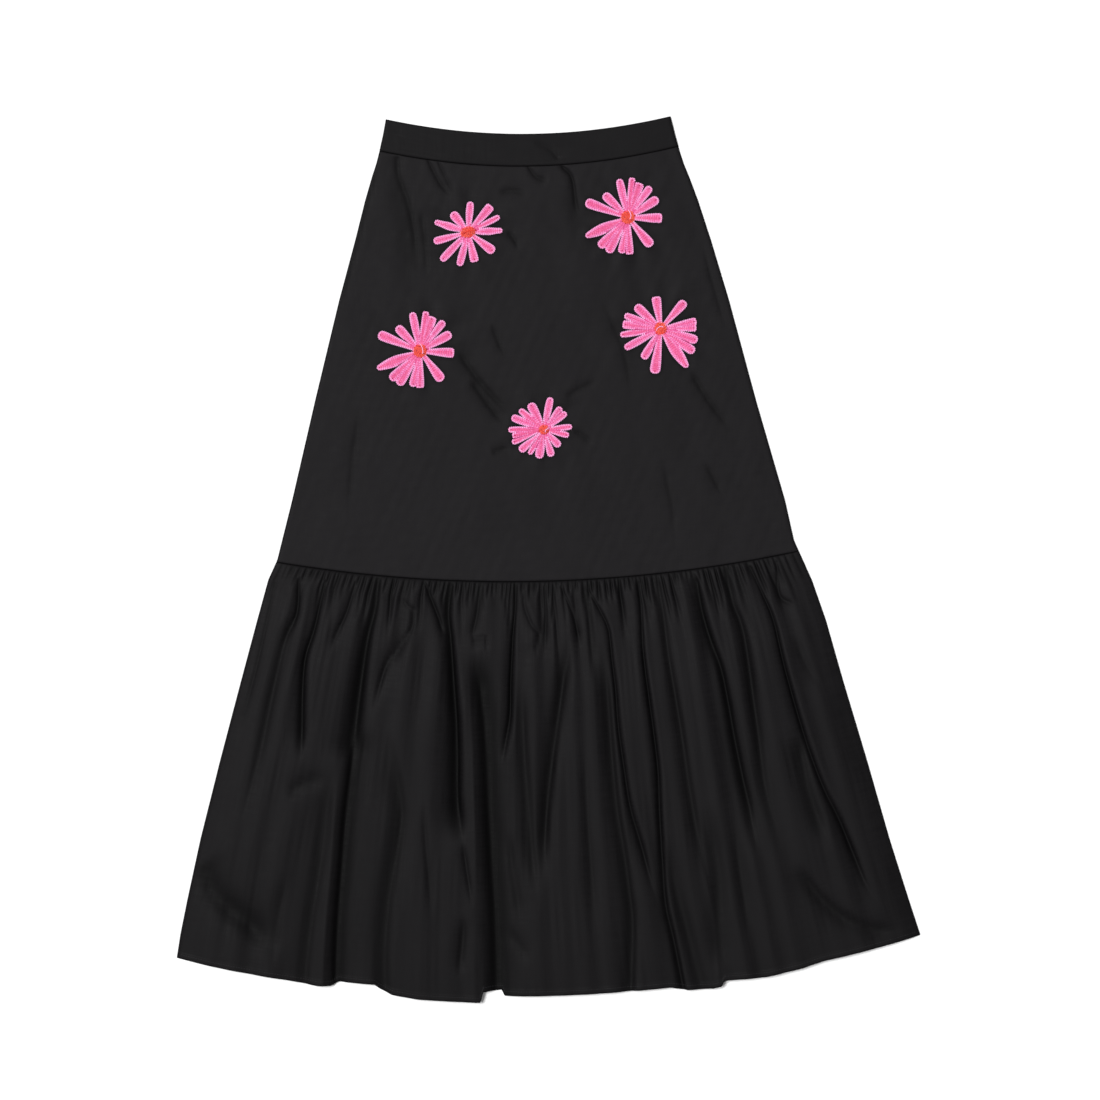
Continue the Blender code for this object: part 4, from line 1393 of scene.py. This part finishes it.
@dataclass
class Flower:
    """One daisy: padded petals under rows of thread, round a coiled centre.

    Lifts are heights of stitches above their pads, and foot is the height of a pad's underside above
    the cloth. A pad starts pad_tuck inside its petal's root, and is flatter the more pad_square is.
    """

    number: int
    bloom: Bloom
    surface: Callable
    pad: float = 1.15
    pad_rim: float = 0.15
    pad_square: float = 5.0
    pad_slope: float = 2.2
    pad_tuck: float = 1.5
    pad_points: tuple = (25, 13)
    foot: float = 0.02
    tuck: float = 1.0
    least_cap: float = 0.6
    widest_gap: float = 1.2
    edge_row: float = 0.8
    edge_points: int = 30
    row_pitch: float = 1.35
    row_points: int = 24
    row_gap: float = 0.2
    row_narrowest: float = 0.35
    middle_share: float = 0.45
    speck_insets: tuple = (3.4, 2.4)
    centre_specks: tuple = ((0.5, 170.0), (0.35, 260.0), (0.62, 320.0), (0.66, 95.0))
    speck_turn: float = 9.0
    coil_pitch: float = 4.0
    coil_points: int = 26
    coil_reach: tuple = (0.9, 0.1)
    bend: float = 0.5
    dome: float = 2.4
    dome_fall: float = 0.4
    shadow_reach: float = 2.6
    edge_lift: float = 0.3
    row_lift: float = 0.22
    speck_lift: float = 0.6
    coil_lift: float = 0.25
    accent_lift: float = 0.75

    def lobes(self) -> list:
        """The flower's lobes in order round it."""
        bloom = self.bloom
        petals = sorted(bloom.petals)
        rng = np.random.default_rng(60 + self.number)
        # The angle to the next petal, shared between the two by their widths, and the ratio of these
        after = [
            (math.radians((b.angle - a.angle) % 360.0) * a.width / (a.width + b.width), b.width / a.width)
            for a, b in zip(petals, petals[1:] + petals[:1])
        ]
        lobes = []
        for index, petal in enumerate(petals):
            angle = math.radians(petal.angle + bloom.turn)
            around = angle - math.radians(bloom.centre_tilt)
            east, north = math.cos(around) / bloom.centre_width, math.sin(around) / bloom.centre_height
            root = 0.5 / math.hypot(east, north) - self.tuck
            bend = self.bend * rng.uniform(-1.0, 1.0)
            gaps = math.prod(after[index - 1]), after[index][0]
            lobes.append(Lobe(angle, root, petal.length, petal.width / 2.0, petal.form, bend, *gaps))
        return lobes

    def body(self, lobe: Lobe, radius: np.ndarray, inset: float = 0.0) -> np.ndarray:
        """Half width of a lobe where no neighbour cuts it.

        Args:
            lobe: The lobe.
            radius: Distances from the flower's middle.
            inset: How far inside its edge to stay.

        Returns:
            The half widths, 0 past its tip.
        """
        tip = lobe.length - inset
        outline = smooth_path(tuple(zip(np.linspace(0.0, 1.0, 5), lobe.form[:5])))
        half = lobe.half * np.interp((radius - lobe.root) / (tip - lobe.root), *outline.T) - inset
        cap = max(lobe.half * lobe.form.tip - inset, self.least_cap)
        past = np.clip((radius - tip + cap) / cap, 0.0, 1.0)
        square = lobe.form.square
        return np.clip(half * (1.0 - past**square) ** (1.0 / square), 0.0, None)

    def limit(self, lobe: Lobe, radius: np.ndarray, side: np.ndarray) -> np.ndarray:
        """Distance from a lobe's middle line to the next lobe on one side, which is 1 or -1."""
        gap = np.where(side > 0.0, lobe.gap_after, lobe.gap_before)
        return np.clip(radius * np.tan(np.minimum(gap, self.widest_gap)), 0.0, None)

    def spot(self, lobe: Lobe, radius: np.ndarray, aside: np.ndarray, lift: np.ndarray) -> np.ndarray:
        """Points beside a lobe's middle line, this far above the cloth."""
        bent = aside + lobe.bend * np.clip(radius / lobe.length, 0.0, 1.0) ** 2
        x = self.bloom.x + radius * math.cos(lobe.angle) - bent * math.sin(lobe.angle)
        y = self.bloom.y + radius * math.sin(lobe.angle) + bent * math.cos(lobe.angle)
        return np.stack([x, y, self.surface(x, y) + lift], axis=-1)

    def puff(self, lobe: Lobe, radius: np.ndarray, aside: np.ndarray) -> np.ndarray:
        """Height of the padded petal above the cloth."""
        half = self.body(lobe, radius)
        share = np.clip(np.abs(aside) / np.maximum(half, 0.01), 0.0, 1.0)
        return self.pad * (1.0 - share**self.pad_square) ** 0.5 * ease((half + 0.3) / self.pad_slope)

    def shadow(self, x: np.ndarray, y: np.ndarray) -> np.ndarray:
        """Painted shadow on the cloth close round the petals, from 0 to 1."""
        dark = np.zeros(x.shape)
        east, north = x - self.bloom.x, y - self.bloom.y
        longest = max(petal.length for petal in self.bloom.petals)
        near = np.hypot(east, north) < longest + 3.0 * self.shadow_reach
        for lobe in self.lobes():
            along = east[near] * math.cos(lobe.angle) + north[near] * math.sin(lobe.angle)
            aside = north[near] * math.cos(lobe.angle) - east[near] * math.sin(lobe.angle)
            half = self.body(lobe, np.clip(along, lobe.root, lobe.length - 1.0))
            past = np.clip(along - lobe.length + 1.0, 0.0, None)
            away = np.hypot(np.clip(np.abs(aside) - half, 0.0, None), past)
            cast = np.where(along > 0.0, bump(away, 1.0, self.shadow_reach), 0.0)
            dark[near] = np.maximum(dark[near], cast)
        return dark

    def petal_walls(self) -> tuple[np.ndarray, list]:
        """Points and faces of all the padded petals."""
        all_points, all_faces = [], []
        lengthwise, across = self.pad_points
        ends = 0.5 - 0.5 * np.cos(np.linspace(0.0, math.pi, lengthwise))
        for lobe in self.lobes():
            radius = mix(lobe.root - self.pad_tuck, lobe.length - 0.02, ends)[:, None]
            share = np.sin(np.linspace(-math.pi / 2, math.pi / 2, across))[None, :]
            radius, share = np.broadcast_arrays(radius, share)
            half = np.minimum(self.body(lobe, radius), self.limit(lobe, radius, -share))
            aside = -share * np.maximum(half, 0.05)
            face = self.spot(lobe, radius, aside, self.pad_rim + self.puff(lobe, radius, aside))
            under = self.spot(lobe, radius, aside, np.full(radius.shape, self.foot))
            start = sum(len(points) for points in all_points)
            points, faces = closed_wall(face, under, 1, Facing.UP, start)
            all_points.append(points)
            all_faces += [polygon[::-1] for polygon in faces]
        return np.vstack(all_points), all_faces

    def edge_lines(self) -> list:
        """A line of stitches round each petal, just inside its edge where no neighbour meets it."""
        lines = []
        for lobe in self.lobes():
            tip = lobe.length - self.edge_row
            radius = mix(lobe.root + 0.3, tip, np.sin(np.linspace(0.0, math.pi / 2, self.edge_points)))
            half, whole = self.body(lobe, radius, self.edge_row), self.body(lobe, radius)
            sides = []
            for side in (1.0, -1.0):
                free = whole < self.limit(lobe, radius, np.full(radius.shape, side)) + 0.1
                sides.append(np.stack([radius, side * half], axis=1)[free & (half > 0.3)])
            path = np.vstack([sides[0], [[tip, 0.0]], sides[1][::-1]])
            lift = self.puff(lobe, path[:, 0], path[:, 1]) + self.edge_lift
            lines.append(self.spot(lobe, path[:, 0], path[:, 1], lift))
        return lines

    def filling_lines(self) -> tuple[list, list]:
        """Lengthwise rows of stitches inside each petal: the outer ones, and the middle ones."""
        outer, middle = [], []
        inset = self.edge_row * 2.0
        for lobe in self.lobes():
            rows = max(2, round(2.0 * (lobe.half - inset) / self.row_pitch) + 1)
            radius = np.linspace(lobe.root, lobe.length - inset - 0.3, self.row_points)
            for row in range(rows):
                share = -1.0 + 2.0 * row / (rows - 1)
                side = np.full(radius.shape, share)
                room = self.limit(lobe, radius, side) - self.row_gap
                reach = np.minimum(self.body(lobe, radius, inset), room)
                inner = reach > self.row_narrowest * abs(share) * lobe.half
                if inner.sum() < 4:
                    continue
                path_r, path_a = radius[inner], (share * reach)[inner]
                line = self.spot(lobe, path_r, path_a, self.puff(lobe, path_r, path_a) + self.row_lift)
                (middle if abs(share) < self.middle_share else outer).append(line)
        return outer, middle

    def speck_lines(self) -> list:
        """Small dark stitches: one near each petal's tip, and a few in the centre."""
        lines = []
        for lobe in self.lobes():
            radius = lobe.length - np.array(self.speck_insets)
            aside = np.full(2, 0.3 * lobe.bend)
            lines.append(self.spot(lobe, radius, aside, self.puff(lobe, radius, aside) + self.speck_lift))
        for reach, turn in self.centre_specks:
            turns = np.radians([turn, turn + self.speck_turn])
            lines.append(self.centre_points(np.full(2, reach), turns, self.accent_lift))
        return lines

    def centre_points(self, reach: np.ndarray, turn: np.ndarray, lift: float) -> np.ndarray:
        """Points on the oval centre.

        Args:
            reach: Shares of the way out to its edge.
            turn: Directions in radians.
            lift: Height above its dome.

        Returns:
            The points.
        """
        bloom = self.bloom
        tilt = math.radians(bloom.centre_tilt)
        a = 0.5 * bloom.centre_width * reach * np.cos(turn)
        b = 0.5 * bloom.centre_height * reach * np.sin(turn)
        x = bloom.x + a * math.cos(tilt) - b * math.sin(tilt)
        y = bloom.y + a * math.sin(tilt) + b * math.cos(tilt)
        dome = self.dome * (1.0 - self.dome_fall * reach**2)
        return np.stack([x, y, self.surface(x, y) + dome + lift], axis=-1)

    def centre_wall(self) -> tuple[np.ndarray, list]:
        """Points and faces of the padded centre."""
        rings, spokes = 6, 28
        directions = np.linspace(0.0, -2.0 * math.pi, spokes + 1)[:-1]
        reach, turn = np.meshgrid(np.linspace(0.0, 1.0, rings), directions)
        face = self.centre_points(reach[:, 1:], turn[:, 1:], -0.1)
        middle = self.centre_points(np.zeros(1), np.zeros(1), 0.0)
        foot = face[:, -1].copy()
        foot[:, 2] = self.surface(foot[:, 0], foot[:, 1]) + self.foot
        ground = middle.copy()
        ground[:, 2] = foot[:, 2].mean()
        points = np.vstack([face.reshape(-1, 3), middle, foot, ground])
        index = np.arange(spokes * (rings - 1)).reshape(spokes, rings - 1)
        top, feet = spokes * (rings - 1), spokes * (rings - 1) + 1
        bottom = feet + spokes
        faces = []
        for spoke in range(spokes):
            after = (spoke + 1) % spokes
            faces.append([top, int(index[after, 0]), int(index[spoke, 0])])
            for step in range(rings - 2):
                faces.append([int(index[spoke, step]), int(index[after, step]), int(index[after, step + 1]),
                              int(index[spoke, step + 1])])
            faces.append([int(index[spoke, -1]), int(index[after, -1]), feet + after, feet + spoke])
            faces.append([feet + spoke, feet + after, bottom])
        return points, faces

    def coil_lines(self) -> list:
        """The centre's thread: a coil from its edge to its middle."""
        turns = max(2.0, min(self.bloom.centre_width, self.bloom.centre_height) / self.coil_pitch)
        along = np.linspace(0.0, 1.0, int(turns * self.coil_points))
        directions = 0.9 + 2.0 * math.pi * turns * along
        return [self.centre_points(mix(*self.coil_reach, along), directions, self.coil_lift)]

    def accent_lines(self) -> list:
        """The thread that crosses the centre."""
        path = smooth_path(self.bloom.accent)
        return [self.centre_points(path[:, 0], np.radians(path[:, 1]), self.accent_lift)]

    def build(self, needle: Needle, threads: dict) -> dict:
        """Make and dress the petals and the centre.

        Args:
            needle: What lays the stitches.
            threads: The thread materials by name.

        Returns:
            The objects by node name.
        """
        number = self.number
        pads = add_object(f"petal_pads_{number}", make_mesh(f"petal_pads_{number}", *self.petal_walls()))
        pads.data.materials.append(threads["deep pink"])
        edges = self.edge_lines()
        outer, middle = self.filling_lines()
        plan = (
            ("edges", "pale pink", Stitch.CHAIN, edges, StitchSizes(2.1, 2.8, 1.8, 1.2, 0.42, 0.12)),
            ("rows", "rich pink", Stitch.LAID, outer, StitchSizes(2.4, 2.9, 1.25, 0.85, 0.0, 0.18)),
            ("furrows", "dusky pink", Stitch.LAID, middle, StitchSizes(2.6, 2.8, 1.2, 0.75, 0.0, 0.2)),
            ("specks", "plum", Stitch.LAID, self.speck_lines(), StitchSizes(1.0, 1.3, 0.8, 0.6, 0.0, 0.5)),
        )
        sewn = [pads]
        for part, (name, colour, kind, lines, sizes) in enumerate(plan):
            seed = 10 * number + part
            sewn.append(needle.sew(f"petal_{name}_{number}", lines, kind, threads[colour], seed, sizes))
        petals = join(f"stitched_petals_{number}", sewn)
        pad = add_object(f"centre_pad_{number}", make_mesh(f"centre_pad_{number}", *self.centre_wall()))
        pad.data.materials.append(threads["deep orange"])
        coil = needle.sew(f"centre_coil_{number}", self.coil_lines(), Stitch.CHAIN, threads["orange"],
                          10 * number + 5, StitchSizes(2.0, 2.7, 1.8, 1.0, 0.42, 0.2))
        oval = self.bloom.centre_width > 1.2 * self.bloom.centre_height
        accent = needle.sew(f"centre_accent_{number}", self.accent_lines(), Stitch.LAID,
                            threads["red" if oval else "pale pink"], 10 * number + 6,
                            StitchSizes(1.6, 2.3, 1.3, 1.0, 0.0, 0.1))
        centre = join(f"stitched_centre_{number}", [pad, coil, accent])
        return {f"petals_{number}": petals, f"centre_{number}": centre}


@dataclass
class Studio:
    """The pale floor, the soft lights and the camera above the skirt."""

    frame_width: float = 1.265
    frame_height: float = 0.004
    middle: tuple = (0.0017, 0.0098)
    lens: float = 90.0
    sensor: float = 36.0
    floor_size: float = 40.0
    floor_drop: float = 0.0003
    floor_colour: tuple = (0.96, 0.96, 0.96, 1.0)
    world: float = 0.18

    def soft_light(self, name: str, place: tuple, width: float, strength: float) -> None:
        """A wide distant light that looks at the skirt's middle, its width in degrees."""
        light = bpy.data.lights.new(name, "SUN")
        light.angle = math.radians(width)
        light.energy = strength
        lamp = bpy.data.objects.new(name, light)
        lamp.location = place
        x, y, z = place
        lamp.rotation_euler = (math.atan2(math.hypot(x, y), z), 0.0, math.atan2(x, -y))
        bpy.context.scene.collection.objects.link(lamp)

    def floor(self) -> None:
        """The sheet of white paper that the skirt lies on."""
        half = self.floor_size / 2.0
        corners = [(-half, -half, 0.0), (half, -half, 0.0), (half, half, 0.0), (-half, half, 0.0)]
        mesh = bpy.data.meshes.new("floor")
        mesh.from_pydata(corners, [], [(0, 1, 2, 3)])
        floor = add_object("floor", mesh)
        floor.location.z = -self.floor_drop
        paper, bench, shader = new_material("white_paper")
        bench.feed(shader, Base_Color=self.floor_colour, Roughness=0.9, Specular_IOR_Level=0.1)
        mesh.materials.append(paper)

    def build(self) -> None:
        """Make the floor, the lights, the world and the camera."""
        self.floor()
        self.soft_light("key_light", (-2.6, 1.4, 7.2), 22.0, 3.4)
        self.soft_light("fill_light", (2.5, -2.5, 5.0), 40.0, 0.2)
        scene = bpy.context.scene
        world = bpy.data.worlds.new("studio")
        world.use_nodes = True
        background = world.node_tree.nodes["Background"]
        NodeBench(world.node_tree).feed(background, Color=(1.0, 1.0, 1.0, 1.0), Strength=self.world)
        scene.world = world
        scene.view_settings.view_transform = "Standard"
        data = bpy.data.cameras.new("camera")
        data.lens = self.lens
        data.sensor_width = self.sensor
        camera = bpy.data.objects.new("camera", data)
        camera.location = (*self.middle, self.frame_width * self.lens / self.sensor + self.frame_height)
        scene.collection.objects.link(camera)
        scene.camera = camera


THREADS = (
    ("pale pink", Thread("pale_pink_thread", (1.0, 0.39, 0.72, 1.0), (1.0, 0.60, 0.92, 1.0))),
    ("rich pink", Thread("rich_pink_thread", (0.82, 0.13, 0.40, 1.0), (1.0, 0.41, 0.74, 1.0))),
    ("dusky pink", Thread("dusky_pink_thread", (0.72, 0.06, 0.20, 1.0), (1.0, 0.26, 0.50, 1.0))),
    ("deep pink", Thread("deep_pink_thread", (0.66, 0.08, 0.26, 1.0), (0.84, 0.15, 0.38, 1.0))),
    ("plum", Thread("plum_thread", (0.14, 0.015, 0.05, 1.0), (0.36, 0.03, 0.12, 1.0))),
    ("orange", Thread("orange_thread", (0.86, 0.05, 0.04, 1.0), (1.0, 0.20, 0.12, 1.0))),
    ("deep orange", Thread("deep_orange_thread", (0.55, 0.03, 0.03, 1.0), (0.70, 0.05, 0.05, 1.0))),
    ("red", Thread("red_thread", (0.60, 0.02, 0.015, 1.0), (0.82, 0.05, 0.03, 1.0))),
    ("black", Thread("black_thread", (0.016, 0.015, 0.017, 1.0), (0.034, 0.032, 0.036, 1.0), 0.45)),
)


def dress(piece: bpy.types.Object, node: str) -> None:
    """Let a piece ride on the skirt's body and stand for its solid.

    Args:
        piece: The finished piece.
        node: The solid's node.
    """
    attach(piece, BODY)
    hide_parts(node)
    LOG.info("%s stands for %s: %d points", piece.name, node, len(piece.data.vertices))


def main() -> None:
    """Build the skirt and light it."""
    logging.basicConfig(level=logging.INFO, format="%(message)s")
    Studio().build()
    pattern = Pattern()
    cloth = Poplin().material(PlainWeave().group())
    threads = {name: thread.material() for name, thread in THREADS}
    needle = Needle()

    smooth = SmoothPieces(pattern, BLOOMS)
    flowers = [Flower(number, bloom, smooth.panel_height) for number, bloom in enumerate(BLOOMS, start=1)]
    pieces = smooth.build(cloth, flowers)
    tier, hem_lines = Flounce(pattern).build(cloth)
    pieces |= tier
    hems = {}
    for side, line in hem_lines.items():
        hems[side] = needle.sew(f"hem_stitching_{side}", [line], Stitch.LAID, threads["black"], 3,
                                StitchSizes(3.0, 2.3, 0.45, 0.35, 0.0, 0.03))
        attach(hems[side], BODY)
    for node, piece in pieces.items():
        dress(piece, node)
    for flower in flowers:
        for node, piece in flower.build(needle, threads).items():
            dress(piece, node)


if __name__ == "__main__":
    main()
